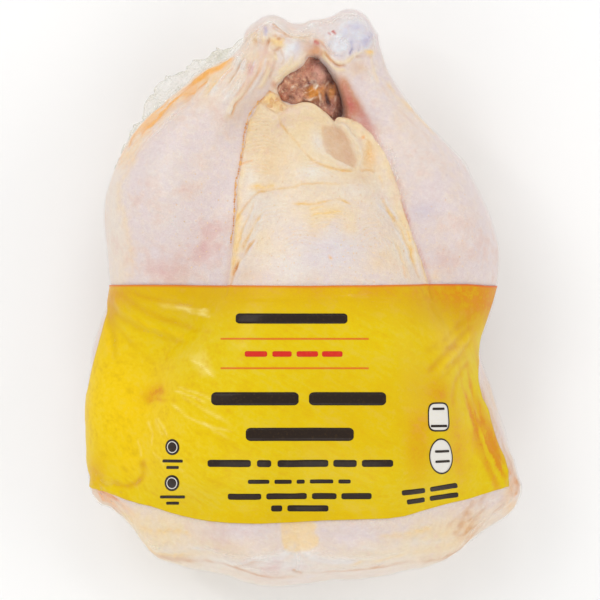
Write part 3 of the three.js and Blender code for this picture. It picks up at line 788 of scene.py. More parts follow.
neckStrokes = [
    # a thin tan line along the neck end's outline, painted where the film's edge is seen side-on
    ([-93, -88, -84, -95, -75, -101, -64, -108, -52, -113, -40, -117.5, -28, -121, -14, -124, 0, -123.5], 0.3, 0.9,
     "tan 0.6"),
    ([0, -123.5, 14, -121.6, 30, -119.6, 44, -116.5, 56, -112.5, 66, -107.5, 76, -101, 86, -95.5], 0.3, 0.8,
     "tan 0.5"), ([-75, -100, -66, -105.5, -56, -110, -46, -112.5], -0.4, 0.6, "fat 0.4"),
    ([70, -91, 74, -94, 79, -95.5], -0.3, 0.5, "tan 0.6"), ([67, -95, 71, -98, 77, -99.5], -0.3, 0.5, "tan 0.6"),
    ([66, -99, 70, -101, 74, -101.5], -0.3, 0.5, "tan 0.5"), ([76, -88, 80, -90, 85, -91], -0.3, 0.5, "orange 0.4"),
    ([-16.3, -111.6, -23.5, -115.2, -29.4, -118.9, -27.9, -121.8], -0.4, 1, "tan 0.35", 0.2),
    ([-14, -110.5, -22, -113.6, -28.5, -117], 0.5, 1.3, "pale 0.5"),
    ([-4.7, -118.2, -3.2, -120.3, -0.3, -123], -0.4, 0.8, "tan 0.5"),
    # on this line and the next two, pale raised ridges across the neck end: partly paler skin, partly painted
    # highlights of the film's folds
    ([-3, -104, -7, -109, -14, -112, -24, -113], 0.9, 1.6, "pale 0.7", 0.1),
    ([-1, -108, 4, -112, 12, -114, 24, -114], 0.8, 1.8, "pale 0.6", 0.1),
    ([-2, -109, -3, -114, -2, -120], 0.6, 1.6, "pale 0.6"),
    ([-81.7, -94.2, -73, -97.1, -59.9, -100, -46.8, -102.9], -0.5, 0.9, "fat 0.35"),
    ([-75.9, -101.4, -64.2, -105.8, -49.7, -108, -32.3, -109.4], 0.5, 1.2, "pale 0.4"),
    ([-78, -92, -66, -96, -50, -99], 0.4, 1, "cream 0.5"),
    ([81.1, -85.5, 73.8, -89.8, 66.6, -95.6, 62.2, -100], -0.5, 0.8, "tan 0.3"),
    ([84, -89, 78, -93, 72, -99, 66, -103], -0.4, 0.5, "tan 0.25"),
    ([79, -92, 73, -95, 68, -96], 0.4, 0.5, "tan 0.4"), ([76, -97, 71, -99.6, 66, -99], 0.4, 0.5, "tan 0.45"),
    ([72, -92, 69, -97, 70, -102], -0.4, 0.5, "tan 0.35"),
    ([76.7, -98.5, 69.5, -100, 59.3, -104.3, 41.9, -108], 0.5, 1.2, "pale 0.4"),
    ([60, -107, 40, -113, 18, -117], -0.4, 0.9, "fat 0.2"), ([58, -99, 44, -102, 30, -103], -0.4, 1, "fat 0.3"),
    ([52, -104, 36, -107.5, 22, -108], 0.4, 1.2, "pale 0.4"), ([88, -78, 84, -86, 80, -93], 0.6, 1, "pale 0.3"),
    ([80, -34, 85, -48, 89, -60, 92, -72, 94.5, -80], 0.4, 0.7, "tan 0.35"),
    ([80, -38, 84, -50, 87.6, -62, 90, -70], -0.4, 0.4, "tan 0.4"),
    ([83, -36, 88, -50, 92, -62, 95, -74], 0.4, 0.7, "pale 0.9"),
    ([89.6, -73, 92, -78, 93.4, -83, 92.6, -88], 0.8, 0.9, "crease 0.5 orange 0.4"),
    ([91.4, -78, 90.8, -83, 91.6, -88], -0.7, 0.8, "crease 0.35 orange 0.3"),
    ([94.6, -78, 95.2, -84, 93.8, -90], 0.7, 0.8, "ice 0.8"), ([93, -78, 95, -84, 95, -89], -0.7, 0.7, "tan 0.6"),
    ([90, -86, 91.5, -90, 89, -94], 0.5, 0.7, "pale 0.9"), ([86, -86, 87.5, -91, 84.5, -95], -0.5, 0.5, "tan 0.4"),
    ([94, -78, 92, -86, 90, -93], 0.6, 0.8, "pale 0.4"),
    ([-92, -84, -87, -88, -81, -90], -0.8, 0.9, "orange 0.6 red 0.3"),
    ([-90, -88, -85, -92, -79, -96], 0.6, 0.9, "tan 0.4 orange 0.3"),
    ([-90, -80, -84, -84, -76, -87], 0.6, 0.9, "orange 0.5")
]
bird = {
    "under": 0.9, "breastLow": 2.2, "cavityDepth": [(-14, 5.5), (2, 7), (9, 9.5), (14, 12), (21, 13)],
    "cavity": [
        (4.8, 106), (1.9, 104.9), (-1, 101.3), (-4.7, 98.4), (-9, 95.5), (-11.2, 92.6), (-11.2, 89.7), (-9.7, 86.8),
        (-5.4, 83.9), (-0.3, 84.2), (4.1, 83.6), (8.4, 80.8), (11.3, 78.5), (13.5, 76.7), (19.3, 77.4), (19.2, 82.4),
        (18.2, 86.8), (16.6, 91.1), (14.3, 96.2), (10.8, 101.3), (7, 105.3)],
    "breastLeft": [
        (-14.8, 90), (-19.2, 85.3), (-24.3, 77.3), (-25.9, 68), (-27.4, 58.4), (-29.6, 46.1), (-30.3, 33),
        (-32.4, 18), (-35.5, -2)],
    "breastRight": [
        (19.6, 78.2), (23.7, 76.6), (28.8, 72.2), (33.9, 65.7), (39.1, 54.8), (43.1, 41), (47.8, 26.5), (52.9, 14.1),
        (57.5, -2)],
    "neckFat": [
        (-9.6, -96), (-10, -100), (-9.4, -105), (-8.6, -108.6), (-3, -109.4), (3, -108.8), (6, -106.6), (6.6, -103.6),
        (4.6, -100.6), (6, -98), (3, -95.6)],
    "breastTop": [
        (-14.8, 90), (-11.2, 88.4), (-9, 85.3), (-5.4, 83.9), (-0.3, 85.2), (4.1, 84.6), (8.4, 81.8), (11.3, 79.5),
        (13.2, 77.2), (15, 79), (19.6, 78.2)],
}
breastOutline = bird["breastTop"] + bird["breastRight"][1:] + bird["breastLeft"][::-1][:-1]
birdMesh, filmMesh = makeBagMesh(True), makeBagMesh(False)
print("bird", len(birdMesh[0]), "points, film", len(filmMesh[0]), "points")


def breastCover(p):  # 1 under the breast skin
    return smoothStep(-outlineGap(p, breastOutline), 0.5, 2.4) * smoothStep(p[:, 2], 50, 66)


def foldThreads(p):  # strands that run along the fold beside the left leg: how much fold, which strand
    away, share, side = nearPath(p, bagMesh["foldLine"], 12)
    threads = lumps(np.column_stack([away * side, share * 5, 0.2 * p[:, 2]]), 0.85, 80)
    return bell(away, 4.6) * smoothStep(share, 0.04, 0.2), threads


def birdRelief(p):  # mm out from the bag's surface
    x, y, z = p.T
    low = smoothStep(z, 3, 16)
    top = smoothStep(z, 34, 56)
    w = wavy(p)
    fold, threads = foldThreads(p)
    relief = top * 0.5 * fold * threads + 0.35 * lumps(p, 21, 1) + 0.16 * lumps(p, 8, 2) + 0.06 * lumps(p, 3.1, 3)
    for height, _, weight in strokes(p, legStrokes):
        relief += top * height * weight
    for height, _, weight in strokes(p, neckStrokes):
        relief += height * weight
    for height, _, weight in spots(w, [row for row in legSpots if len(row) > 6]):  # those with a height
        relief += top * height * weight
    rim = 0.45 - 0.45 * smoothStep(x, 8, 14) * smoothStep(-y, -99, -92)
    relief += top * rim * bell(outlineGap(w, bird["cavity"]) - 1.3, 1.0)
    ends = np.maximum(spot(p, -13, 114, 12, 10), spot(p, 19, 113, 13, 11))
    relief += top * ends * (0.7 * lumps(p, 5.5, 5) + 0.5 * lumps(p, 2.4, 6) + 0.6 * (0.25 - np.abs(lumps(p, 4.2, 61))))
    relief += top * spot(p, -11.8, 111.4, 4.0, 3.6) * lumps(p, 1.9, 60)
    neck = smoothStep(-y, 88, 106)
    relief += neck * (0.7 * lumps(p * (1, 2.2, 1), 15, 7) + 0.35 * lumps(p, 5, 8))
    wing = np.maximum(spot(p, -88, -86, 9, 9), spot(p, 91, -84, 9, 14))
    relief += wing * (0.9 * lumps(p, 5, 9) + 0.5 * lumps(p, 2.4, 10))
    return np.clip(relief, -2.6, 2.2) * low - bird["under"]


skinMarks = ["cream", "pale", "ice", "pink", "fat", "orange", "strand", "crease", "red", "violet", "tan"]


def makeBird():
    p, normals, faces = birdMesh
    x, y, z = p.T
    up = normals[:, 2]
    relief = birdRelief(p)
    skin = p + normals * (relief - bird["breastLow"] * breastCover(p))[:, None]
    gap = outlineGap(wavy(p), bird["cavity"])
    top = smoothStep(z, 30, 52)
    right = smoothStep(x, 4, 12)
    drop = smoothStep(-gap, -0.4, 4.8) * smoothStep(z, 50, 62)
    skin[:, 2] -= drop * (np.interp(x, *zip(*bird["cavityDepth"])) + lumps(p, 6, 11))
    skin[:, 2] = np.maximum(skin[:, 2], np.minimum(z, 0.2) + 0.15)
    side = smoothStep(-x, 26, 34) * smoothStep(y, 48, 60)
    fold, threads = foldThreads(p)
    facing = up + 0.2 * threads + 0.1 * lumps(p, 9, 44)
    top = top * (1 - side) + side * smoothStep(facing, 0.0, 0.4)
    slide = side * smoothStep(-up, -0.8, -0.3) * (0.8 * (64 - z) + 7 * lumps(p, 5, 48))
    drawn = p + np.stack([0.73 * slide, 0.68 * slide, 0 * slide], 1)  # marks lie aslant where the side is steep
    paint = paintAll(drawn, skinMarks, legStrokes + neckStrokes, legSpots, top, 1.5)
    gaps = fold * smoothStep(-threads, -0.12, 0.22)
    for name, kept in (("strand", 0.15), ("orange", 0.55), ("fat", 0.5), ("crease", 0.3)):
        paint[name] *= 1 - (1 - kept) * gaps
    paint["strand"] += 0.35 * top * fold * smoothStep(threads, 0.15, 0.4)
    paint["fat"] += 0.35 * side * fold * smoothStep(up, -0.15, 0.4)
    paint["orange"] += 0.16 * side * fold * smoothStep(up, -0.1, 0.5)
    paint["cream"] += 0.4 * top * gaps
    paint["pale"] += 0.9 * top * fold * smoothStep(-threads, 0.3, 0.5)
    neckCream = (0.3 + 0.2 * smoothStep(-x, 10, 40)) * smoothStep(-y, 86, 96)
    paint["cream"] += 0.25 * (1 - top) + neckCream + 0.1
    paint["pale"] += 0.25 * smoothStep(-y, 104, 120)
    ends = top * spot(p, 19, 112.5, 11, 9)
    paint["ice"] += 0.65 * ends * smoothStep(lumps(p, 2.6, 46), -0.1, 0.3)
    paint["violet"] += 0.2 * ends * smoothStep(-lumps(p, 2.4, 47), 0.05, 0.4)
    ends = top * spot(p, -13, 113.5, 11, 8)
    paint["ice"] += 0.4 * ends * smoothStep(lumps(p, 2.6, 46), 0.05, 0.4)
    paint["tan"] += 0.28 * ends * smoothStep(-lumps(p, 2.2, 47), 0.1, 0.45)
    # the gristle's knots: fat on their tops, tan and crease in the hollows between them, partly the gristle's colour
    # and partly painted shade
    gristle, knots = spot(p, -11.8, 111.4, 3.8, 3.4), lumps(p, 1.9, 60)
    paint["tan"] += 0.9 * gristle * smoothStep(-knots, 0.05, 0.35)
    paint["crease"] += 0.4 * gristle * smoothStep(-knots, 0.2, 0.5)
    paint["fat"] += 0.5 * gristle * smoothStep(knots, 0.0, 0.3)
    neckFat = smoothStep(-outlineGap(wavy(p), bird["neckFat"]), -0.5, 0.9) * top
    paint["fat"] += 0.42 * neckFat
    paint["cream"] += 0.4 * neckFat
    # a tan and red band just outside the cavity's lower right edge: reddish skin there, darkened partly as painted
    # shade of the rim
    lowRight = right * smoothStep(-y, -99, -90)
    paint["tan"] += 1.2 * lowRight * bell(gap - 0.6, 2.3) * top
    paint["red"] += 0.45 * lowRight * bell(gap - 0.4, 1.6) * top
    # the cavity's wall: tan and pink flesh, red on the lower right partly as painted shade, and pale on the left as
    # painted light that lifts the wall's shade
    paint["tan"] += drop * 0.7
    paint["red"] += 0.35 * drop * lowRight
    paint["pink"] += 0.4 * drop
    paint["pale"] += 0.4 * drop * (1 - right)
    paint["cream"] += 0.5 * bell(gap - 1.2, 1.6) * top * (1 - right)
    for line, amount in (("breastLeft", 0.3), ("breastRight", 0.2)):
        away = nearPath(wavy(p), bird[line], 6)[0]
        paint["tan"] += amount * bell(away, 1.1)
    paint["red"] += 0.35 * bell(away, 0.5) * (0.6 + 1.2 * lumps(p, 5, 45))
    return makeObject("bird", skin, faces, finishes["skin"], paint)


birdObject = makeBird()
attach(birdObject, "root")
print("bird ready")

breast = {
    "rows": 236, "columns": 186, "thick": 1.5, "lift": 0.35, "crisp": 0.55,
    "ripples": [  # x, y, half length, turn, how many, how far apart
        (-19, 78, 5, 4, 5, 1.5), (-19, 68, 6.5, 2, 6, 1.6), (-20, 58, 6, -4, 4, 1.7), (10, 35, 9, 2, 6, 1.5),
        (-2, 27, 8, 6, 4, 1.9), (27, 63, 3, 60, 4, 1.2), (28, 30, 6, 20, 5, 1.8), (-14, 38, 7, 12, 5, 1.7),
        (36, 24, 5, -62, 4, 1.6), (8, 58, 8, -12, 4, 1.5)],
    "fatLump": [
        (-14.8, 90), (-11.2, 88.2), (-9, 85.3), (-6.5, 83.1), (-8.3, 81), (-11.9, 80.2), (-14.8, 82.4),
        (-19.2, 85.3)],
    "hole": [
        (7.6, 75.6), (12.4, 76), (16.5, 75), (19.3, 72), (21, 68.5), (22.8, 64.5), (24.2, 60.4), (22.5, 56.6),
        (18, 57.8), (12.5, 60.8), (9.2, 63.6), (8, 67.5), (7.4, 71.5)],
    "strokes": [
        ([-11.9, 80.2, -8.3, 73.7, -2.5, 67.1, 2.6, 61.3, 7, 58.4, 12.8, 56.8, 18.6, 55.9, 25.1, 56.2], -0.75, 0.55,
         "fat 0.68 crease 0.3"),
        ([-9.5, 80.6, -6.4, 74.6, -0.8, 68.2, 4.2, 62.8, 8.2, 60.2, 13.2, 58.4], 0.55, 1.2, "cream 0.5"),
        ([7, 65, 11.3, 61.7, 17.1, 58.4, 21.5, 56.6], 0.9, 1.1, "cream 0.7 pale 0.25", 0.3),
        ([14.6, 76.9, 18.6, 74.3, 21.7, 70.3, 24.4, 65.2, 25.4, 60.4, 22.4, 56.4], 1.1, 1, "pale 0.35 cream 0.6",
         0.35), ([16, 78.6, 20.5, 76.2, 25.4, 71.8, 29.2, 66.5], 0.6, 1.2, "cream 0.6"),
        ([27, 70, 28.4, 65, 28, 60, 26.4, 57], -0.6, 1.2, "tan 0.3 fat 0.3"),
        ([23.8, 56.2, 28.2, 55.9, 30.7, 54.8], -0.6, 0.5, "crease 0.36 fat 0.34"),
        ([31.8, 54.1, 34, 50.4, 34.7, 47.5], -0.3, 0.6, "fat 0.34"),
        ([-21.2, 60.6, -25.6, 58.8, -27.4, 57.7], 0.5, 0.5, "orange 0.6"),
        ([-24.8, 77, -21.5, 76.6, -18.4, 76.9], 0.25, 0.45, "fat 0.42"),
        ([-25.2, 73.2, -22.8, 72.9, -20.6, 73.2], 0.2, 0.45, "fat 0.34"),
        ([-11, 47.9, -16.1, 46.8, -20.9, 45.9, -24.9, 41.7, -27.8, 37, -30.3, 32.3], -0.7, 0.5,
         "crease 0.28 fat 0.42", 0.2), ([-12, 49, -17, 48.3, -21.5, 47.6], 0.35, 1.1, "fat 0.59"),
        ([-20.9, 45.9, -14, 47.5, -6.7, 48.1, 2, 50.1, 9.3, 50.4, 15.1, 50.2, 20.9, 50.1, 24.6, 49.3], -0.5, 0.45,
         "fat 0.38 crease 0.17"),
        ([-6, 41, -1.6, 41, 4.9, 41.3, 9.3, 42.1, 14.4, 43.2, 18, 42.3, 21.7, 41.3], -0.6, 0.5,
         "fat 0.68 crease 0.22", 0.2),
        ([2.8, 35.9, 5.7, 37, 9.3, 37.4, 13.7, 37.9, 18, 37.5], -0.35, 0.45, "fat 0.38"),
        ([2.4, 38.1, 4.9, 39.5, 9.3, 40.3], -0.3, 0.45, "fat 0.26"),
        ([11.5, 33.7, 9.3, 32.3, 7.8, 30.8], -0.3, 0.4, "fat 0.34"),
        ([-21.6, 32.3, -23.8, 27.9, -26.3, 24.3, -27.4, 20.6], -0.5, 0.45, "crease 0.25 fat 0.42"),
        ([-21.2, 26.5, -24.1, 22.8, -26.7, 18.5, -29.2, 14.8, -33.2, 6.1], -0.9, 0.55, "crease 0.44 fat 0.51"),
        # pale lines laid close beside the fat lines, here and below, are partly paler skin and partly painted
        # highlights along the folds' edges
        ([-20, 27, -23, 22, -25.6, 17.5, -28, 13.5], 0.5, 0.6, "pale 0.8"),
        ([-18.7, 35.9, -21.2, 32.3, -24.9, 26.5], -0.4, 0.5, "fat 0.42"),
        ([-17.5, 33.5, -21, 28.5, -24.5, 22], 0.4, 0.6, "pale 0.6"),
        ([-28.8, 40, -28.4, 31, -29.4, 22, -31, 12], 0.3, 1.6, "fat 0.42 cream 0.5"),
        ([34, 43.9, 36.9, 38.1, 39.8, 33], -0.45, 0.5, "fat 0.51 crease 0.11"),
        ([35.2, 44.2, 38.2, 38.6, 41, 33.5], 0.35, 0.6, "pale 0.6"),
        ([39.1, 25.7, 42, 19.9, 44.9, 12.6, 46.7, 7.6], -0.4, 0.5, "fat 0.51"),
        ([42.7, 14.8, 43.8, 11.9, 44.9, 9], -0.5, 0.6, "orange 0.4 fat 0.51"),
        ([45.3, 24.3, 47.8, 15.6, 50.7, 8.3], -0.45, 0.5, "crease 0.17 fat 0.42"),
        ([42.7, 33, 44.9, 28.6, 46.4, 24.3], -0.3, 0.5, "fat 0.42"),
        ([37, 50, 41, 38, 45.4, 26, 50, 13], 0.3, 2.4, "fat 0.12 cream 0.7"),
        ([31, 42.1, 35.3, 37.7, 39.7, 30.1, 44, 21.4, 47.3, 10.5], 0.35, 0.4, "pale 0.7"),
        ([33, 44, 37.4, 38.4, 41.8, 30, 45.6, 21.6, 49.4, 10], -0.3, 0.35, "fat 0.3 tan 0.2"),
        ([30.4, 38, 34, 33, 38.4, 25.4, 42, 16], 0.3, 0.35, "pale 0.6"),
        ([47.6, 30, 49.6, 22, 52.4, 12, 54, 6], -0.4, 0.4, "fat 0.5 tan 0.2"),
        ([46.2, 27, 48.4, 19, 51, 9], 0.4, 0.4, "pale 0.8"),
        ([-18.1, 37.7, -22.5, 31.2, -25.7, 23.5, -27.9, 18.1], -0.5, 0.4, "fat 0.45 crease 0.2"),
        ([-17.2, 36.8, -21.4, 30.4, -24.6, 22.8], 0.45, 0.4, "pale 0.8"),
        ([-21.4, 43.2, -24.1, 36.6, -27.4, 27.9, -29.6, 19.2, -32, 8.3], -0.4, 0.4, "fat 0.4 crease 0.15"),
        ([-20.4, 42.4, -23, 36, -26.2, 28], 0.4, 0.4, "pale 0.7"),
        ([-27.2, 21, -29.4, 14, -32, 6, -34, 1], -0.6, 0.5, "crease 0.5 fat 0.3"),
        ([30, 46, 33, 40, 36.5, 33, 40, 26], 0.3, 1.5, "pale 0.3"),
        ([-14, 66, -6, 63, 0, 59], -0.15, 0.8, "fat 0.13"), ([-20, 55, -8, 54, 4, 55], -0.15, 0.7, "fat 0.13"),
        ([-22, 22, -8, 20, 10, 21, 28, 18], -0.12, 0.8, "fat 0.09")],
    "spots": [
        (-13, 85, 5, 3.6, "fat 0.2", -25, 0.5), (2.6, 75, 7.5, 8, "cream 0.3 fat 0.18", 0, 0.8),
        # the pale spot at the start of this line is a painted highlight on the smooth flap
        (5.8, 68.6, 3, 5, "pale 0.75", 20, 0.5), (28.8, 61.5, 2.6, 4.6, "orange 0.2 fat 0.25 tan 0.2", 10),
        (25.5, 70.4, 0.8, 0.8, "orange 0.8"), (-20.5, 48.6, 3.4, 1.5, "fat 0.6", 5, 0.2),
        (10, 38, 11, 3.4, "fat 0.3 cream 0.4"), (5, 31, 3.6, 5, "fat 0.26 cream 0.3", 15),
        (20, 31, 4, 5, "fat 0.24 cream 0.3", -15), (13, 22, 14, 9, "pale 0.12 ice 0.2 violet 0.17", 0, 0.1),
        (-23.5, 52, 4, 8, "ice 0.45", 10), (3, 55, 8, 3.4, "ice 0.5"), (-16, 40, 7, 6, "ice 0.3"),
        (-6, 14, 9, 7, "ice 0.25"), (22, 47, 7, 3, "ice 0.35"), (-20, 28, 4, 10, "ice 0.12"),
        (24, 52.5, 5, 4, "tan 0.2"), (36, 44, 5, 9, "pale 0.4", 25), (11.5, 17.8, 1, 0.5, "strand 0.8", -40, 0.2),
        (-22, 10, 7, 4, "tan 0.25"), (33, 17, 7, 5, "fat 0.26 tan 0.1"), (36, 31, 5, 5, "fat 0.15 tan 0.05"),
        (42, 22, 5, 7, "cream 0.5 pale 0.25"), (-19, 26, 6, 6, "fat 0.14 cream 0.3"), (-12, 22, 10, 8, "cream 0.2"),
        (28, 38, 6, 8, "pink 0.12"), (-14, 60, 9, 9, "fat 0.12 orange 0.06")],
}


def ripples(p, x, y, long, turn, count, apart):  # a few short, faintly bowed ridges side by side
    c, s = math.cos(math.radians(turn)), math.sin(math.radians(turn))
    u, v = (p[:, 0] - x) * c + (p[:, 1] - y) * s, (p[:, 1] - y) * c - (p[:, 0] - x) * s
    v = v + u * u / (long * 4)
    inside = np.exp(-(u / long) ** 4 - (v / (count * apart * 0.5)) ** 4)
    return inside * np.cos(2 * math.pi * v / apart)


def breastRelief(p):
    w = wavy(p)
    relief = 0.35 * lumps(p, 21, 1) + 0.16 * lumps(p, 8, 2) + 0.1 * lumps(p, 2.6, 15) + 0.06 * lumps(p, 1.1, 16)
    for height, _, weight in strokes(p, breast["strokes"]):
        relief += breast["crisp"] * height * weight
    for row in breast["ripples"]:
        relief += 0.13 * ripples(w, *row)
    for height, _, weight in spots(w, breast["spots"]):
        relief += height * weight
    hole = outlineGap(w, breast["hole"])
    softSide = smoothStep(p[:, 0], 6, 15)
    relief -= 0.55 * smoothStep(-hole, -0.1, 1.1) * softSide + 0.25 * smoothStep(-hole, 0, 4)
    lump = outlineGap(w, breast["fatLump"])
    curds = 0.6 + 1.3 * lumps(p, 1.9, 17) - 0.9 * smoothStep(lumps(p, 1.5, 40), 0.12, 0.5)
    relief += 0.5 * smoothStep(-lump, -0.4, 1.2) * curds - 0.12 * bell(lump, 0.5)
    edge = -outlineGap(w, breastOutline)
    upperEdge = nearPath(w, bird["breastTop"], 8)[0]
    relief += 0.45 * bell(upperEdge - 0.9, 0.9)
    thinned = smoothStep(1.3 - edge, 0, 1.3) * smoothStep(upperEdge, 0.5, 2)
    relief += 0.25 * bell(edge - 2.2, 1.4) - 0.75 * thinned
    return np.clip(relief, -1.5, 2.2) - bird["under"] + breast["lift"]


def makeBreast():
    bottom = [(-35.5, -2), (-12, -2.5), (12, -2.5), (35, -2.5), (57.5, -2)]
    borders = bird["breastTop"], bottom, bird["breastLeft"], bird["breastRight"]
    plan = coonsGrid(*borders, breast["rows"], breast["columns"])
    p = dropTo(plan[:, 0], plan[:, 1])
    normals = fieldNormals(p)[1]
    relief = breastRelief(p)
    skin = p + normals * relief[:, None]
    under = p + normals * (relief - breast["thick"])[:, None]
    paint = paintAll(p, skinMarks, breast["strokes"], breast["spots"])
    y = p[:, 1]
    paint["cream"] += 0.46 + 0.42 * smoothStep(y, 26, 62) - 0.28 * spot(p, 10, 18, 25, 12)
    paint["pale"] += 0.12 * (1 - smoothStep(y, 25, 60))
    w = wavy(p)
    lump = outlineGap(w, breast["fatLump"])
    paint["fat"] += 0.34 * smoothStep(-lump, -0.4, 1.2)
    paint["crease"] += 0.2 * bell(lump, 0.5)
    cracks = 0.45 * smoothStep(lumps(p, 1.5, 40), 0.12, 0.5) + 0.25 * smoothStep(lumps(p, 3, 41), 0.2, 0.5)
    paint["crease"] += smoothStep(-lump, 0, 1) * cracks
    hole = outlineGap(w, breast["hole"])
    paint["tan"] += smoothStep(-hole, -0.3, 1.3) * (0.3 + 0.34 * smoothStep(p[:, 0] + 0.3 * p[:, 1], 28, 33))
    for row in breast["ripples"]:
        paint["fat"] += 0.16 * np.maximum(-ripples(w, *row), 0)
    left, leftShare, _ = nearPath(w, bird["breastLeft"], 6)
    right = nearPath(w, bird["breastRight"], 6)[0]
    beads = 0.35 + 1.1 * smoothStep(lumps(p, 1.7, 42), -0.15, 0.35)
    paint["crease"] += beads * bell(left, 0.6) * (1 - 0.5 * smoothStep(leftShare, 0.45, 0.7))
    paint["crease"] += 0.5 * bell(right, 0.5) * (0.8 + 1.5 * lumps(p, 5, 45))
    paint["red"] += 0.3 * bell(right, 0.45) * (0.8 + 1.5 * lumps(p, 5, 45))
    paint["fat"] += (0.2 * bell(left - 1.4, 1.4) + 0.12 * bell(right - 1.6, 1.6)) * (1 + 1.5 * lumps(p, 4, 43))
    paint["crease"] += 0.25 * bell(nearPath(w, bird["breastTop"], 4)[0], 0.5)
    faces = slabFaces(breast["rows"], breast["columns"])[:, ::-1]
    return makeObject("breastSkin", np.vstack([skin, under]), faces, finishes["skin"], doubled(paint))


breastObject = makeBreast()
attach(breastObject, "root")
print("breast skin ready")

meat = {
    "low": (-13.5, 76), "high": (21, 107), "step": 0.36,
    "below": [(-14, 1.8), (2, 2.4), (9, 3.2), (14, 4.8), (21, 6.6)],  # x, how far under the bag's surface
    "lumps": [  # x, y, half width, half length, turn, height, what it paints
        (-6.6, 91, 5.2, 4.4, -20, 2.6, "pale 0.15"), (-8.6, 87.4, 2.8, 2.2, 0, 1.8, "red 0.25"),
        (-2.2, 87.4, 2.6, 2.2, 20, 1.6, "pale 0.3"), (-0.9, 96.6, 3.8, 3.6, 10, 2.6, "pale 0.35"),
        (7.2, 97.6, 4.2, 4.2, 20, 3, "pale 0.75"), (6.4, 102, 2.4, 2.6, 0, 1.6, "pale 0.3 red 0.3"),
        (4.2, 89.2, 3.4, 2.9, 10, 3.4, "fat 1"), (8.6, 89.4, 1.6, 3.2, -8, 2.6, "fat 0.45 pale 0.3"),
        (12.6, 90.6, 2.2, 3.8, -10, 3, "fat 0.85"), (12.4, 83.4, 2.7, 3.8, -10, 2.6, "red 0.25 pale 0.3"),
        (-3.8, 93.6, 2.4, 1.8, 30, 1.4, ""), (2.6, 100.4, 2.4, 2.4, 0, 1.5, "red 0.2"),
        (7, 87.6, 0.4, 1.9, 12, 0.8, "white 0.7"), (5.8, 91.6, 0.4, 1.5, -24, 0.6, "white 0.6"),
        (3, 86.6, 2.4, 0.45, 12, 0.5, "white 0.6"), (-4.4, 91.6, 0.9, 0.45, 40, 0.4, "white 0.55"),
        (13.6, 86.8, 0.4, 1.6, -10, 0.5, "white 0.5"), (1, 92.2, 1.4, 0.45, 20, 0.4, "white 0.5"),
        (10.4, 93.4, 0.4, 1.8, -30, 0.4, "white 0.4"), (2.2, 93.4, 0.9, 0.9, 0, -0.5, "dark 0.5 red 1"),
        # on this line and the next two, the sunken lumps painted dark are painted shade in crevices
        (-5, 87.8, 1.3, 0.7, -30, -0.8, "dark 0.5"), (10.2, 86.4, 0.6, 2.8, 10, -1.6, "dark 0.9"),
        (9.9, 79.6, 2.6, 0.9, -35, -1.5, "dark 0.7"), (-9.4, 94.4, 1.8, 0.9, 40, -0.8, "dark 0.35"),
        (1.4, 95, 0.5, 2.2, 20, -1, "dark 0.45")],
    "shadow": [(6.4, 104.4), (10.8, 98.6), (14.6, 91.6), (17.2, 84.6), (16.6, 78.4)],
}


def makeMeat():
    x = np.arange(meat["low"][0], meat["high"][0], meat["step"])
    y = np.arange(meat["low"][1], meat["high"][1], meat["step"])
    grid = np.stack(np.meshgrid(x, y[::-1]), -1).reshape(-1, 2)
    p = np.column_stack([grid, np.zeros(len(grid))])
    z = dropTo(grid[:, 0], grid[:, 1])[:, 2] - np.interp(grid[:, 0], *zip(*meat["below"]))
    paint = {name: np.zeros(len(p)) for name in ("fat", "red", "white", "dark", "pale")}
    w = wavy(p) + 0.5 * np.stack([lumps(p, 2.2, 31), lumps(p, 2.2, 32), p[:, 2]], 1)
    for lx, ly, wide, long, turn, height, marks in meat["lumps"]:
        weight = spot(w, lx, ly, wide * 0.85, long * 0.85, turn)
        z += height * np.minimum(weight * 1.35, 1) ** 0.8
        for name, amount in amounts(marks):
            paint[name] += amount * np.clip(weight * 1.5, 0, 1)
    facets = np.abs(lumps(p, 3.2, 21))
    z += 0.6 * lumps(p, 3.4, 18) + 0.32 * lumps(p, 1.7, 19) + 0.18 * lumps(p, 0.9, 20) + 0.5 - 2.2 * facets
    paint["white"] += 0.4 * smoothStep(0.05 - facets, 0, 0.04) * smoothStep(lumps(p, 2.2, 22), -0.1, 0.3)
    z -= 6 * smoothStep(outlineGap(p, bird["cavity"]), -0.5, 3)
    # along the shadow path the meat sinks and is painted dark: painted shade beside the cavity's right wall, and
    # painted shade in the low places between lumps
    side = nearPath(w, meat["shadow"], 6)[0]
    z -= 2.5 * bell(side, 2.2)
    paint["dark"] += 0.75 * bell(side, 2.8) + 0.3 * smoothStep(lumps(p, 1.7, 19), -0.25, -0.6)
    faces = slabFaces(len(y), len(x))[:, ::-1]
    top = np.column_stack([grid, z])
    return makeObject("cavityMeat", np.vstack([top, top - (0, 0, 3)]), faces, finishes["meat"], doubled(paint))


meatObject = makeMeat()
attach(meatObject, "root")
print("meat ready")

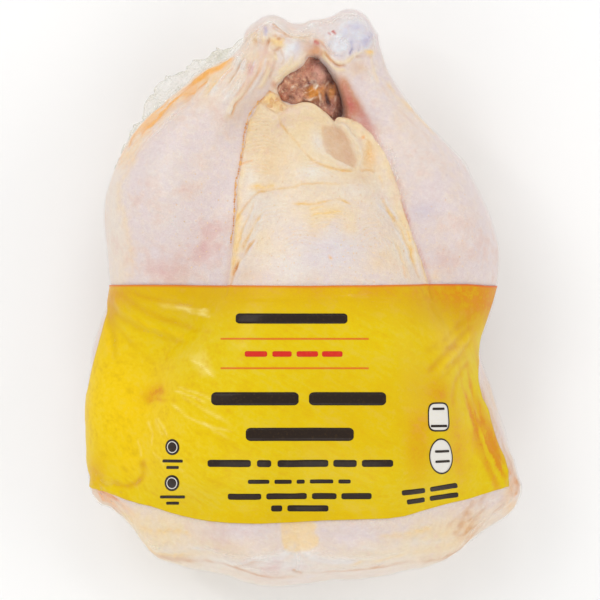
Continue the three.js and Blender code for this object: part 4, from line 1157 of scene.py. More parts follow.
film = {
    "clear": 0.4,
    "pleats": [  # path as x, y, x, y, height of the pleat, half width, share of milky white: clouded film, and on short rows near 1 or more painted glints
        ([-28.3, 110, -30, 102, -36, 94, -40, 87], 0.7, 0.8, 0.3),
        ([-25, 109, -26.4, 100, -29, 92, -34, 84], 0.7, 0.8, 0.3), ([-21, 110, -23, 101, -27, 92], 0.5, 0.7, 0.25),
        ([-33, 106, -44, 97, -56, 86, -66, 76], 0.8, 0.9, 0.3),
        ([-36, 107.5, -48, 99, -60, 89, -72, 77], 0.9, 1, 0.35), ([-62, 84.5, -57, 90, -52, 94], 0.6, 0.6, 0.5),
        ([-52.8, 85, -56.2, 80.2, -60.6, 75, -65.8, 69.8, -71.9, 66.3, -76.3, 64.1], 0.5, 0.5, 0.5),
        ([-50, 86, -54.5, 80, -60, 74.4, -66, 69], 0.4, 0.4, 0.35),
        ([29.4, 117, 30.8, 112, 30.4, 107], 0.5, 0.5, 0.8),
        ([9, 120.6, 15, 123.6, 22, 123.4, 27.6, 118.6], 0.4, 0.5, 0.6),
        ([-24.6, 113.6, -20, 118.2, -14.4, 120.6, -9, 118.8], 0.4, 0.5, 0.6),
        ([-6, 117.6, 0, 116.4, 6, 118], 0.5, 0.5, 0.8), ([8.4, 113, 10.6, 108, 14.6, 105], 0.4, 0.4, 0.8),
        ([13.6, 113.8, 18, 112.2, 20.4, 108], 0.4, 0.4, 0.7), ([-7, 121, 2, 121.5, 12, 124], 0.6, 0.9, 0.4),
        ([-5, 118, 2, 116, 8, 112], 0.6, 0.8, 0.3), ([-8, 121, -2, 117, 2, 110], 0.6, 0.8, 0.3),
        ([6, 120, 4, 114, 3, 108], 0.5, 0.8, 0.3), ([16, 121, 22, 122, 28, 117, 30, 110], 0.5, 0.9, 0.3),
        ([-18, 121, -12, 121.5, -8, 119], 0.4, 0.7, 0.3), ([-22, 117, -27, 111, -33, 106], 0.7, 0.8, 0.5),
        ([-19, 119, -23, 112, -27, 106], 0.6, 0.7, 0.4), ([-17, 121, -19, 115, -20, 108], 0.5, 0.6, 0.35),
        ([-9, 121, -3, 116.5, 4, 114], 0.6, 0.7, 0.45), ([-10, 118, -4, 113.5, 3, 111.5], 0.5, 0.6, 0.35),
        ([9, 118.5, 14, 114, 17, 108], 0.5, 0.6, 0.35), ([12, 123, 18, 122.5, 25, 120], 0.4, 0.7, 0.4),
        ([20, 113, 25, 114.5, 30, 112], 0.5, 0.7, 0.35), ([24, 106, 27, 100, 32, 92], 0.4, 0.6, 0.25),
        # short rows with a high share of milky white, here and along the right crease below, are partly clouded film
        # and partly painted glints
        ([-5, 104, -8, 99, -13, 94], 0.4, 0.6, 0.3), ([-27.9, 107.7, -26.6, 105.8, -25.7, 104], 0.5, 0.4, 1.3),
        ([-29.2, 105.9, -28, 103.4, -27, 100.7], 0.5, 0.4, 1.3),
        ([-24.9, 103.5, -25.2, 101.6, -25.7, 99.6], 0.5, 0.35, 1.1),
        ([-27, 96.8, -27.7, 93.4, -28.8, 90], 0.5, 0.45, 1.3),
        ([-43.6, 102.5, -49, 99.2, -54.1, 95.5], 0.6, 0.5, 0.9),
        ([-54.9, 92, -59.4, 87.8, -63.7, 83.3], 0.6, 0.5, 1.1),
        ([-41, 100.6, -45.6, 97.6, -50, 94.4], 0.5, 0.35, 0.8), ([-62, 88, -67, 83, -72, 77], 0.6, 0.5, 0.8),
        ([-60, 92, -52, 97, -43, 102], 0.5, 0.6, 0.5), ([-74, 74, -66, 83, -58, 91], 0.6, 0.7, 0.4),
        ([-79, 66, -72, 76, -64, 86], 0.6, 0.7, 0.4), ([-40, 84, -42, 90, -40, 98], 0.4, 0.5, 0.25),
        ([24.4, 76, 29.8, 71.5, 34.8, 65, 38.4, 57.5, 41, 51], 0.5, 0.6, 0.35),
        ([36.4, 66, 38.4, 62.6, 40, 59], 0.4, 0.4, 1.2), ([38.6, 58, 40.2, 54, 41.2, 50], 0.4, 0.4, 1.2),
        ([41.6, 48, 43, 43, 44, 39], 0.3, 0.35, 0.8), ([63.2, 62.8, 65.6, 58.6, 67.8, 53.6], 0.4, 0.5, 0.2),
        ([37, 98, 46, 86, 58, 73, 68, 60, 77, 42], 0.3, 0.6, 0.12), ([-66, 38, -60, 36, -54, 32], 0.2, 0.4, 0.15),
        ([-64, 35.5, -58, 33.5, -53, 30], 0.2, 0.4, 0.15), ([-80, -92, -60, -106, -44, -114], 0.5, 1, 0.1),
        ([60, -112, 76, -104, 86, -94], 0.5, 1, 0.15), ([-30, -119, -12, -114, 10, -117], 0.5, 1.2, 0.15),
        ([-50, -104, -34, -110, -20, -111, -8, -108, -1, -112], 0.7, 0.9, 0.4),
        ([-1, -112, 6, -109, 18, -112, 34, -111, 50, -107], 0.6, 0.9, 0.35),
        ([-38, -113, -22, -118, -8, -121], 0.6, 0.9, 0.35), ([10, -119, 24, -118.5, 40, -114], 0.6, 0.9, 0.3),
        ([-70, -99, -60, -105, -50, -109], 0.6, 0.8, 0.3), ([62, -108, 72, -101, 84, -94], 0.6, 0.8, 0.35),
        ([-86, -88, -78, -94, -70, -100], 0.6, 0.7, 0.35), ([90, -90, 84, -96, 76, -101], 0.6, 0.7, 0.35),
        ([-4, -106, -2, -113, -4, -122], 0.6, 0.8, 0.3), ([30, -104, 46, -101, 60, -96], 0.4, 0.6, 0.2),
        ([88, -76, 91, -86, 86, -96], 0.6, 0.8, 0.3), ([-92, -82, -86, -90, -76, -96], 0.6, 0.8, 0.3),
        ([82, -88, 74, -94, 66, -98], 0.4, 0.8, 0.15)],
}


bandStrokes = [  # pleats of the printed film: path as x, y, x, y, height, half width, what they paint; ochre and orange in the grooves are partly painted shade, bright on the ridges is painted light and the white streaks are painted highlights
    ([-83.7, 3.1, -80.2, -4.8, -71.5, -11.8, -61, -16.1, -48.8, -19.6], -0.7, 1.3, "ochre 0.5"),
    ([-83.3, 4.4, -78, -3.1, -68.9, -9.6, -58.4, -14, -46.2, -17], 0.7, 1.3, "bright 0.3"),
    ([-82, 4.4, -73.2, -1.7, -62.8, -7.4, -48.8, -12.2, -36.6, -14.6], -0.6, 1.2, "ochre 0.5"),
    ([-80.2, 5.2, -68.9, 0.9, -55.8, -2, -43.6, -3.5], -0.5, 1, "ochre 0.4"),
    ([-62.8, -2.2, -54.1, -3.9, -46.2, -5.2, -39.2, -6.5], 0.8, 1.2, "white 0.35"),
    ([-55.8, -2.9, -48.8, -4.4, -39.7, -4.8], 0.5, 0.5, "white 0.6"),
    ([-50.6, -5.2, -44.5, -6.5, -39.9, -7.9], 0.5, 0.5, "white 0.6"),
    ([-83.9, 1.3, -81.3, -9.2, -80.2, -17.9, -81.1, -28.3], -0.5, 1.2, "ochre 0.45"),
    ([-83, -1.3, -78, -12.6, -71.5, -21.4, -63.7, -28.3], -0.4, 1.4, "ochre 0.3"),
    ([-84.6, -2.2, -83.3, -12.6, -83.7, -24.9], 0.5, 1.5, "bright 0.3"),
    ([-70.6, -44, -65.4, -40.5, -60.2, -37.9], -0.5, 2, "orange 0.45"),
    ([-69.8, -44.9, -64.5, -43.2, -58.4, -44], -0.4, 0.8, "orange 0.35"),
    ([-84.6, -50.1, -75, -48.8, -66.3, -47.5], 0.4, 1, "bright 0.2"),
    ([-49.3, -25.5, -43.6, -28.8, -37.5, -34.4], 0.3, 0.5, "white 0.5"),
    ([-56.7, -39.2, -48.8, -41.4, -41, -44.9], 0.3, 0.45, "white 0.5"),
    ([-54.9, -37.5, -45.3, -40.5, -36.6, -44.5], 0.3, 0.45, "white 0.45"),
    ([-58.4, -44, -52.3, -48.8, -45.3, -52.8, -36.6, -55.5, -29.6, -57.1], 0.35, 0.5, "white 0.45"),
    ([-54.1, -41, -41.9, -47.5, -29.6, -54.7], 0.35, 0.6, "white 0.3"),
    ([-44.5, -51.9, -38.4, -56.2, -30.5, -60.6], 0.3, 0.5, "white 0.3"),
    ([-64.1, -51, -61.5, -54.9, -58.6, -59.3], 0.3, 0.5, "white 0.6"),
    ([-65.2, -51, -63, -56.2, -61, -58.9], 0.3, 0.45, "white 0.4"),
    ([-68.5, -51.9, -66.4, -58, -67, -64.1], 0.3, 0.5, "white 0.35"),
    ([-73.7, -60.6, -72.2, -64.1, -71.7, -68.5], 0.3, 0.5, "white 0.3"),
    ([-67.1, -65.8, -62.8, -68.5, -60.6, -72.8], 0.3, 0.5, "white 0.35"),
    ([-54.1, -71.9, -52.3, -74.6], 0.2, 0.6, "white 0.35"),
    ([-71.5, -68.5, -69.9, -74.6, -73.2, -79.8, -79.4, -81.1, -85.5, -77.6], -0.8, 1.3, "ochre 0.75 orange 0.25"),
    ([-92.4, -70.2, -89.8, -77.2, -83.7, -83.3], -0.4, 1.2, "ochre 0.35"),
    ([75.4, -9.2, 68, -17.9, 59.3, -25.7, 52.3, -32.7], -0.7, 1.5, "ochre 0.55 orange 0.15"),
    ([76.7, -12.6, 70.6, -19.6, 62.8, -26.6, 55.8, -34.4], 0.6, 1.5, "bright 0.2"),
    ([75.9, -17, 68.9, -24.9, 61, -30.5], -0.7, 1.2, "ochre 0.55 orange 0.2"),
    ([73.2, -6.5, 66.3, -13.5, 58.4, -19.6, 50.6, -24], -0.5, 1.4, "ochre 0.4"),
    ([75.4, -25.7, 69.8, -32.7, 67.1, -40.5, 66.3, -48.4], -0.6, 1.3, "ochre 0.4 orange 0.2"),
    ([75.4, -22.2, 67.1, -28.3, 59.3, -35.3], -0.4, 0.9, "ochre 0.4"),
    ([75.9, -33.6, 78.5, -45.8, 82, -56.2], -0.5, 1, "orange 0.5"),
    ([73.7, -37.1, 76.3, -51, 81.1, -66.7], -0.4, 1, "orange 0.4"),
    ([76.7, -2.2, 70.6, -9.2, 64.5, -12.6], -0.4, 1.5, "ochre 0.3"),
    ([82.4, -58, 85.5, -65.8, 88.9, -72.8], -0.4, 1, "orange 0.6"),
    ([83.7, -70.2, 86.3, -74.6, 89.8, -78], -0.4, 0.8, "orange 0.4"),
    ([75, -20.5, 64.5, -20.5, 54.9, -22.2], -0.35, 1, "ochre 0.3")
]


def filmOffset(p):
    skin = birdRelief(p)
    cover = breastCover(p)
    near = cover > 0.001
    if near.any():
        over = np.where(near, -9.0, skin)
        over[near] = breastRelief(p[near])
        skin = np.maximum(skin, over * cover + skin * (1 - cover))
    w, strong = wavy(p), uneven(p)
    offset = np.maximum(skin, -bird["under"] - 0.2) + film["clear"]
    offset = offset + 0.1 * (lumps(p, 11, 12) + 1) + 0.05 * (lumps(p, 4, 13) + 1)
    for path, height, width, _ in film["pleats"]:
        offset += height * strong * stroke(w, path, width, 0.0, 0.3) * smoothStep(p[:, 2], 30, 45)
    for path, height, width, _ in bandStrokes:
        offset += 0.6 * height * stroke(w, path, max(width, 0.8), 0.0, 0.3) * smoothStep(p[:, 2], 35, 50)
    return offset


def makeFilm():
    p, normals, faces = filmMesh
    shell = p + normals * filmOffset(p)[:, None]
    shell[:, 2] = np.maximum(shell[:, 2], 0.05)
    w, strong = wavy(p), uneven(p)
    hazeAndGlint = 0.015 + 0.03 * np.maximum(spot(p, -16, 114, 12, 9), spot(p, 20, 116, 14, 9)) + 0.2 * spot(p, 2, 119, 7, 3)
    # milky white streaks along the pleats: clouded film, and where short and strong, painted glints
    for path, _, width, mistAndGlint in film["pleats"]:
        if mistAndGlint:
            hazeAndGlint += 1.3 * mistAndGlint * strong * stroke(w, path, width * 0.8, 0.0, 0.3)
    hazeAndGlint += 0.25 * spot(p, -92, -92, 8, 8) + 0.2 * spot(p, 93, -90, 6, 10) + 0.2 * spot(p, -8, -120, 18, 4)
    hazeAndGlint *= 1 - 0.85 * smoothStep(-outlineGap(p, bird["cavity"]), 0, 2)
    return makeObject("film", shell, faces, finishes["film"], {"hazeAndGlint": hazeAndGlint})


filmObject = makeFilm()
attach(filmObject, "root")
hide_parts("bagged_chicken")
print("film ready")

band = {
    "rows": 158, "columns": 292, "lift": 0.16, "thick": 0.12,
    "leftEdge": [  # y, x
        (-100, -99), (-50, -99), (-44, -95.2), (-41.4, -94.4), (-36.2, -93.5), (-31, -92.6), (-25.7, -91.2),
        (-20.5, -89.9), (-15.3, -88.6), (-10, -86.9), (-4.8, -85.7), (0.4, -86.2), (6, -86)],
    "rightEdge": [
        (-100, 91.4), (-86, 90.8), (-78, 89.4), (-67.6, 87.4), (-62.3, 85), (-57.1, 83.3), (-51.9, 81.5),
        (-46.7, 80.2), (-41.4, 77.6), (-36.2, 75.9), (-31, 75.4), (-25.7, 75.9), (-20.5, 76.7), (-15.3, 77.8),
        (-10, 79.4), (-4.8, 81.1), (0.4, 82.8), (6, 84.4)],
    "top": [  # x, y
        (-90, 6.1), (-40, 6), (0, 5.7), (30, 6), (57, 6.5), (71, 6.4), (80, 5.8), (90, 5.7)],
    "sheer": [
        (-50, -24), (-42.5, -21.5), (-38.5, -32), (-44, -33.5)],
    "bottom": [
        (-98, -80), (-93.3, -82.4), (-87, -84.4), (-80, -86.6), (-75, -88), (-68, -89.8), (-61, -92), (-54, -93.7),
        (-47, -95), (-40, -95.9), (-33, -96.4), (-19, -96.8), (-5, -96.4), (8.7, -95.5), (22.7, -95), (36.6, -94.6),
        (43.6, -93.7), (50.6, -92), (57.6, -90.3), (64.5, -88.5), (71.5, -86.8), (78.5, -84.6), (85.5, -82.4),
        (89, -80.6), (98, -77)],
    "marks": {  # soft patches of colour: how much, x, y, half width, half length; the large bright patch on the left is painted light on the bulge there
        "bright": [(0.95, -82, -44, 22, 32), (0.35, -77, -72, 8, 8), (0.5, 64, -16, 12, 7), (0.35, -50, -60, 22, 26),
                   (0.3, 62, -28, 9, 8), (0.3, 74, -60, 7, 16)],
        "ochre": [(0.3, 0, -96, 70, 8), (0.3, 25, -50, 32, 30), (0.5, 66, -6, 20, 10), (0.4, 50, -40, 9, 14)],
        "orange": [(1.1, 86, 1, 11, 9), (0.6, 72, 3, 22, 7), (0.6, 59.7, -40.5, 6, 6), (0.3, 50.6, -51.9, 7, 5),
                   (0.65, 68, -64, 4.5, 14), (0.45, 49, -66, 5, 12), (0.3, -65.4, -40.1, 6, 4, 25),
                   (0.3, -88, -4, 6, 14), (0.45, -91, -76, 4, 8), (0.3, -85, 2, 12, 5), (0.3, 30, 4, 60, 4)]},
    "streaks": [(1.2, 84, -68, 4, 13), (0.9, 78, -46, 3.5, 18), (0.3, 72, -20, 6, 24)],  # streaked orange
}


def surfaceAt(y, turn, start=112.0):  # bag surface at distance y along, at an angle round from +X
    directions = np.stack([np.cos(turn), np.zeros_like(turn), np.sin(turn)], -1)
    origins = spinePoint(y)
    origins[:, 2] = spine["low"]
    return castRays(origins, directions, start, 70)


def turnAt(rowY, edge, side, top):  # angles round the bag at which its side reaches these places
    want = np.interp(rowY, *zip(*edge))
    side, top = np.full(len(rowY), math.radians(side)), np.full(len(rowY), math.radians(top))
    for _ in range(11):
        middle = (side + top) / 2
        beyond = np.abs(fitOutline(surfaceAt(rowY, middle))[:, 0]) > np.abs(want)
        side, top = np.where(beyond, middle, side), np.where(beyond, top, middle)
    return np.convolve(np.pad(side, 1, "edge"), (0.2, 0.6, 0.2), "valid")


def bandGrid():
    s = np.linspace(0, 1, band["rows"])
    f = np.linspace(0, 1, band["columns"])
    upper = np.array(band["top"])
    bottom = np.array(band["bottom"])
    nudged = fitOutline(np.column_stack([bottom, bottom[:, 0] * 0]))[:, 1]
    bottom[:, 1] -= nudged - bottom[:, 1]
    ends = []
    for x, edge, side, top in ((-90, "leftEdge", 178.8, 100), (89, "rightEdge", 1, 75)):
        first, last = np.interp(x, *upper.T), np.interp(x, *bottom.T)
        ends.append(np.interp(s, s[::3], turnAt(first + (last - first) * s[::3], band[edge], side, top)))
    turn = ends[0][:, None] * (1 - f)[None] + ends[1][:, None] * f[None]
    stride = 9  # rays are cast at every ninth place, and the rest lie between
    coarse = np.ix_(np.arange(0, band["rows"], stride), np.arange(0, band["columns"], stride))
    x = np.cos(turn) * 88

    def rows(x):  # rows follow the upper and the sagging lower edge where each column crosses them
        return np.interp(x, *upper.T) * (1 - s[:, None]) + np.interp(x, *bottom.T) * s[:, None]

    for _ in range(3):
        y = rows(x)
        rough = surfaceAt(y[coarse].reshape(-1), turn[coarse].reshape(-1)).reshape(*turn[coarse].shape, 3)
        row = np.clip(np.arange(band["rows"]) / stride, 0, rough.shape[0] - 1)
        column = np.clip(np.arange(band["columns"]) / stride, 0, rough.shape[1] - 1)
        half = np.stack([np.interp(row, np.arange(rough.shape[0]), rough[:, k, 0]) for k in range(rough.shape[1])], 1)
        x = np.stack([np.interp(column, np.arange(half.shape[1]), line) for line in half])
    return surfaceAt(rows(x).reshape(-1), turn.reshape(-1)).reshape(*turn.shape, 3)


def makeBand():
    p = bandGrid().reshape(-1, 3)
    normals = fieldNormals(p)[1]
    offset = (filmOffset(p) + band["lift"]).reshape(band["rows"], band["columns"])
    over = p + normals * offset.reshape(-1, 1)
    points = np.vstack([over, over - normals * band["thick"]])
    y = p[:, 1]
    paint = paintAll(p, ["bright", "ochre", "orange", "white"], bandStrokes)
    w = wavy(p)
    for name, rows in band["marks"].items():
        for amount, *where in rows:
            paint[name] += amount * spot(w, *where)
    streaks = smoothStep(lumps(np.column_stack([w[:, 0] + 0.28 * y, 0.16 * y, w[:, 2] * 0]), 2.1, 70), -0.1, 0.3)
    for amount, *where in band["streaks"]:
        paint["orange"] += amount * spot(w, *where) * streaks
    # ochre along the upper edge is painted shade
    paint["ochre"] += 0.6 * smoothStep(y, -16, 4)
    paint["white"] += 0.3 * smoothStep(-outlineGap(w, band["sheer"]), -1.5, 2.5)
    redLine = np.zeros((band["rows"], band["columns"]))
    redLine[:2] = ((0.85,), (0.5,))
    paint["redLine"] = redLine.reshape(-1)
    faces = slabFaces(band["rows"], band["columns"])[:, ::-1]
    return makeObject("printBand", points, faces, finishes["print"], doubled(paint))


bandObject = makeBand()
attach(bandObject, "root")
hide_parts("print_band")
print("printed band ready")

grains = {
    "round": 8, "rings": 5, "flat": 0.42,
    "patches": [  # middle x, y, half sizes, steps across, closest, seed, size in mm
        (-8, 62, 17, 18, 18, 2.2, 3, 0.24), (8, 32, 32, 24, 26, 3.0, 5, 0.24), (30, 24, 15, 20, 14, 2.4, 8, 0.27),
        (-14, 22, 13, 16, 12, 2.6, 9, 0.24), (-44, 34, 12, 22, 14, 3.4, 12, 0.27), (64, 26, 12, 24, 14, 4.0, 15, 0.25),
        (12, 50, 18, 8, 14, 2.8, 17, 0.24)],
    "crease": [(-19.2, 85.3), (-24.3, 77.3), (-26.1, 68), (-27.6, 58.4), (-29.8, 46.1), (-30.5, 33), (-31.6, 25)],
    "apart": 1.05, "beadSize": 0.52,
}


def grainTree(name, follow, material):  # grains over a patch, or one after another along a path
    tree = bpy.data.node_groups.new(name, "GeometryNodeTree")
    for label, way, kind in (
            ("Shape", "INPUT", "Geometry"), ("Apart", "INPUT", "Float"), ("Grain size", "INPUT", "Float"),
            ("Seed", "INPUT", "Int"), ("Grains", "OUTPUT", "Geometry")):
        tree.interface.new_socket(label, in_out=way, socket_type="NodeSocket" + kind)

    def add(kind, inputs=None, settings=None):
        node = tree.nodes.new(kind)
        for key, value in (settings or {}).items():
            setattr(node, key, value)
        for key, value in (inputs or {}).items():
            if isinstance(value, bpy.types.NodeSocket):
                tree.links.new(value, node.inputs[key])
            else:
                node.inputs[key].default_value = value
        return node.outputs

    given = add("NodeGroupInput")
    if follow:
        path = add("GeometryNodeMeshToCurve", {"Mesh": given["Shape"]})
        lengths = {"Curve": path["Curve"], "Length": given["Apart"]}
        spots = add("GeometryNodeResampleCurve", lengths, {"mode": "LENGTH"})["Curve"]
        turn = add("FunctionNodeAlignRotationToVector", {"Vector": (0.0, 0.0, 1.0)}, {"axis": "Z"})["Rotation"]
    else:
        density = {"Mesh": given["Shape"], "Distance Min": given["Apart"], "Density Max": 4e5, "Seed": given["Seed"]}
        spread = add("GeometryNodeDistributePointsOnFaces", density, {"distribute_method": "POISSON"})
        spots, turn = spread["Points"], spread["Rotation"]
    ball = {"Segments": grains["round"], "Rings": grains["rings"], "Radius": 1.0}
    grain = add("GeometryNodeMeshUVSphere", ball)["Mesh"]
    chance = add("FunctionNodeRandomValue", {2: 0.55, 3: 1.35, "Seed": given["Seed"]}, {"data_type": "FLOAT"})[1]
    size = add("ShaderNodeMath", {0: chance, 1: given["Grain size"]}, {"operation": "MULTIPLY"})[0]
    low = add("ShaderNodeMath", {0: size, 1: grains["flat"]}, {"operation": "MULTIPLY"})[0]
    scale = add("ShaderNodeCombineXYZ", {"X": size, "Y": size, "Z": low})[0]
    placed = add("GeometryNodeInstanceOnPoints", {"Points": spots, "Instance": grain, "Rotation": turn, "Scale": scale})
    real = add("GeometryNodeRealizeInstances", {"Geometry": placed["Instances"]})["Geometry"]
    done = add("GeometryNodeSetMaterial", {"Geometry": real, "Material": material})["Geometry"]
    out = tree.nodes.new("NodeGroupOutput")
    tree.links.new(done, out.inputs["Grains"])
    return tree


def growGrains(name, tree, points, edges, faces, apart, size, seed):
    mesh = bpy.data.meshes.new(name + "Base")
    mesh.from_pydata(((fitOutline(points) + boxShift) * mm).tolist(), edges, faces)
    base = addToScene(name + "Base", mesh)
    growth = base.modifiers.new("grow", "NODES")
    growth.node_group = tree
    sockets = {item.name: item.identifier for item in tree.interface.items_tree if item.in_out == "INPUT"}
    growth[sockets["Apart"]] = apart * mm
    growth[sockets["Grain size"]] = size * mm
    growth[sockets["Seed"]] = seed
    shape = bpy.data.meshes.new_from_object(base.evaluated_get(bpy.context.evaluated_depsgraph_get()))
    base.modifiers.clear()
    bpy.data.objects.remove(base)
    return shape


def skinTop(p):  # on the skin, whichever layer of it lies there
    normals = fieldNormals(p)[1]
    cover = breastCover(p)
    relief = np.where(cover > 0.5, breastRelief(p), birdRelief(p))
    return p + normals * relief[:, None]


def makeGrains():
    parts = []
    over = grainTree("grainsOverSkin", False, finishes["pore"])
    for x, y, wide, long, steps, apart, seed, size in grains["patches"]:
        side = np.linspace(-1, 1, steps)
        u, v = np.meshgrid(side, -side)
        drawnIn = np.sqrt(1 - 0.5 * v ** 2), np.sqrt(1 - 0.5 * u ** 2)  # a square grid drawn round
        plan = np.stack([x + wide * u * drawnIn[0], y + long * v * drawnIn[1]], -1).reshape(-1, 2)
        p = skinTop(dropTo(plan[:, 0], plan[:, 1]))
        parts.append(growGrains("patch", over, p, [], sheetFaces(steps, steps)[:, ::-1].tolist(), apart, size, seed))
    along = grainTree("grainsAlongCrease", True, finishes["bead"])
    path = curve(grains["crease"], 60)
    flatPath = np.column_stack([path, path[:, 0] * 0])
    path = path + 0.35 * np.stack([lumps(flatPath, 2.0, 50 + k) * 2 for k in range(2)], 1)
    p = skinTop(dropTo(path[:, 0], path[:, 1]))
    links = [(k, k + 1) for k in range(len(p) - 1)]
    parts.append(growGrains("crease", along, p, links, [], grains["apart"], grains["beadSize"], 21))
    mesh = bmesh.new()
    for part in parts:
        mesh.from_mesh(part)
    shape = bpy.data.meshes.new("skinGrains")
    mesh.to_mesh(shape)
    mesh.free()
    shape.materials.append(finishes["pore"])
    shape.materials.append(finishes["bead"])
    beads = len(parts[-1].polygons)
    shape.polygons.foreach_set("material_index", [0] * (len(shape.polygons) - beads) + [1] * beads)
    shape.polygons.foreach_set("use_smooth", [True] * len(shape.polygons))
    print("grains", len(shape.polygons), "faces")
    return addToScene("skinGrains", shape)


grainObject = makeGrains()
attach(grainObject, "root")

inkBars = [  # plain bars where words would be: ink, half height, lift, then start x, y and end x, y of each
    ("darkInk", 2.18, 0.1, [(-29.2, -8.3, 18.7, -8.3)]),
    ("redInk", 1.2, 0.1, [(-25.3, -23.5, -15.7, -23.5), (-13.5, -23.5, -5.2, -23.5), (-3.1, -23.5, 6.1, -23.5),
        (7.8, -23.5, 16.6, -23.5)]),
    ("orangeInk", 0.35, 0.1, [(-35.8, -17, 27.9, -17), (-35.8, -29.6, 27.9, -29.6)]),
    ("darkInk", 2.83, 0.1, [(-39.7, -42.7, -2.2, -42.7), (2.2, -42.7, 35.3, -42.7), (-24.9, -58, 21.4, -58)]),
    ("darkInk", 1.53, 0.1, [(-41.4, -70.6, -22.7, -70.6), (-20.1, -70.6, -14, -70.6), (-11.3, -70.6, 10.5, -70.6),
        (12.6, -70.6, 22.7, -70.6), (24.9, -70.6, 38.4, -70.6)]),
    ("darkInk", 0.87, 0.1, [(-24, -78.5, -14.8, -78.5), (-12.6, -78.5, -5.2, -78.5), (-3.1, -78.5, 0.4, -78.5),
        (2.6, -78.5, 12.6, -78.5), (14.8, -78.5, 20.1, -78.5)]),
    ("darkInk", 1.31, 0.1, [(-32.7, -85, -18.3, -85), (-16.1, -85, 1.3, -85), (3.5, -85, 14, -85),
        (16.1, -85, 29.2, -85), (-14, -90.3, -9.2, -90.3), (-7, -90.3, 10.5, -90.3)]),
    ("darkInk", 1.09, 0.1, [(42.3, -83.7, 52.3, -82.4), (54.5, -82.2, 66.3, -80.6), (44.5, -87.6, 52.3, -86.6),
        (54.5, -86.3, 66.7, -84.7)]),
    ("darkInk", 0.65, 0.1, [(-61.5, -69.8, -52.3, -69.8), (-59.7, -72.6, -54.1, -72.6), (-62.3, -85.5, -51.4, -85.5),
        (-59.7, -88.3, -54.1, -88.3)]),
    ("darkInk", 0.52, 0.24, [(55.8, -47.1, 61.9, -47.1), (54.9, -54.5, 62.8, -54.5), (56.7, -65.4, 63.7, -65.4),
        (56.7, -69.8, 63.7, -69.8)]),
]
inkThick = 0.07
inkPatches = [  # ink, x, y, half width, half height, squareness, share of the middle left open, lift
    ("darkInk", -57.1, -63.7, 3.3, 3.5, 2.0, 0.0, 0.1), ("darkInk", -57.1, -79.4, 3.3, 3.5, 2.0, 0.0, 0.1),
    ("whiteInk", -57.1, -63.7, 2.4, 2.55, 2.0, 0.86, 0.17), ("whiteInk", -57.1, -79.4, 2.4, 2.55, 2.0, 0.86, 0.17),
    ("whiteInk", 58.9, -50.6, 5.1, 6.1, 4.0, 0.0, 0.1), ("darkInk", 58.9, -50.6, 5.3, 6.3, 4.0, 0.9, 0.16),
    ("whiteInk", 59.7, -67.6, 5.5, 7.6, 2.0, 0.0, 0.1), ("darkInk", 59.7, -67.6, 5.7, 7.8, 2.0, 0.92, 0.16),
]


def onPrint(plan, lift):
    p = dropTo(plan[:, 0], plan[:, 1])
    normals = fieldNormals(p)[1]
    over = p + normals * (filmOffset(p) + band["lift"] + lift)[:, None]
    return np.vstack([over, over - normals * inkThick])


def inkBarPlan(x0, y0, x1, y1, half):  # a plain bar with softly rounded ends
    along, across = np.array([x1 - x0, y1 - y0]), 5
    length = np.hypot(*along)
    corner = min(half * 0.8, length / 3)
    bend = np.linspace(0.12, np.pi / 2, 8)
    tip, middle = corner * (1 - np.cos(bend)), np.linspace(corner, length - corner, max(3, int(length)))[1:-1]
    place = np.concatenate([tip, middle, (length - tip)[::-1]])
    rise = 0.35 + 0.65 * np.sin(bend)
    share = np.concatenate([rise, np.ones(len(middle)), rise[::-1]])
    way = along / length
    spread = np.linspace(1, -1, across)[:, None] * half * share
    plan = np.array([x0, y0]) + place[:, None] * way + spread[..., None] * np.array([-way[1], way[0]])
    return plan.reshape(-1, 2), slabFaces(across, len(place))[:, ::-1]


def inkPatchPlan(x, y, wide, high, squareness, hollow):  # a disc, or a ring when the middle is left open
    around = 56
    turn = np.linspace(0, 2 * np.pi, around, endpoint=False)
    edge = (np.abs(np.cos(turn)) ** squareness + np.abs(np.sin(turn)) ** squareness) ** (-1 / squareness)
    shares = np.linspace(1, max(hollow, 0.05), 3 if hollow else 6)
    edgeX, edgeY = edge * np.cos(turn), edge * np.sin(turn)
    plan = np.stack([x + wide * np.outer(shares, edgeX), y + high * np.outer(shares, edgeY)], -1)
    count = len(shares) * around
    sheet = sheetFaces(len(shares), around, True)
    faces = sheet.tolist() + (sheet[:, ::-1] + count).tolist()
    ring = np.arange(around)
    faces += np.stack([np.roll(ring, -1), ring, ring + count, np.roll(ring, -1) + count], -1).tolist()
    inner = ring + count - around
    if hollow:
        faces += np.stack([inner, np.roll(inner, -1), np.roll(inner, -1) + count, inner + count], -1).tolist()
    else:
        faces += [inner.tolist(), (inner[::-1] + count).tolist()]
    return plan.reshape(-1, 2), faces


def makeInk():
    for kind in ("darkInk", "redInk", "orangeInk", "whiteInk"):
        points, faces, count = [], [], 0
        shapes = [(*inkBarPlan(*bar, half), lift) for ink, half, lift, bars in inkBars if ink == kind for bar in bars]
        shapes += [(*inkPatchPlan(*row[1:7]), row[7]) for row in inkPatches if row[0] == kind]
        for plan, flat, lift in shapes:
            points.append(onPrint(plan, lift))
            faces += [[int(i) + count for i in face] for face in flat]
            count += 2 * len(plan)
        thing = makeObject(kind + "Marks", np.vstack(points), faces, finishes[kind])
        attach(thing, "root")


makeInk()
print("plain marks ready")

frill = {
    "outer": [
        (-85.9, 43.2), (-84.6, 50.6), (-83.3, 58.4), (-81.5, 61.9), (-80.2, 65), (-76.7, 73.7), (-72.4, 78.9),
        (-69.3, 88.9), (-61.5, 99), (-60.6, 97.7), (-52.8, 99.8), (-51.4, 105.1), (-44, 105.5), (-39.2, 110.3),
        (-35.8, 109), (-31.4, 110.7), (-27.9, 114.5), (-22.8, 119)],
    "rows": 22, "columns": 210, "inside": 7,
    "layers": [(0, 1.0, 56.0), (31, 0.7, 58.5)],  # seed, share of the width, height
}


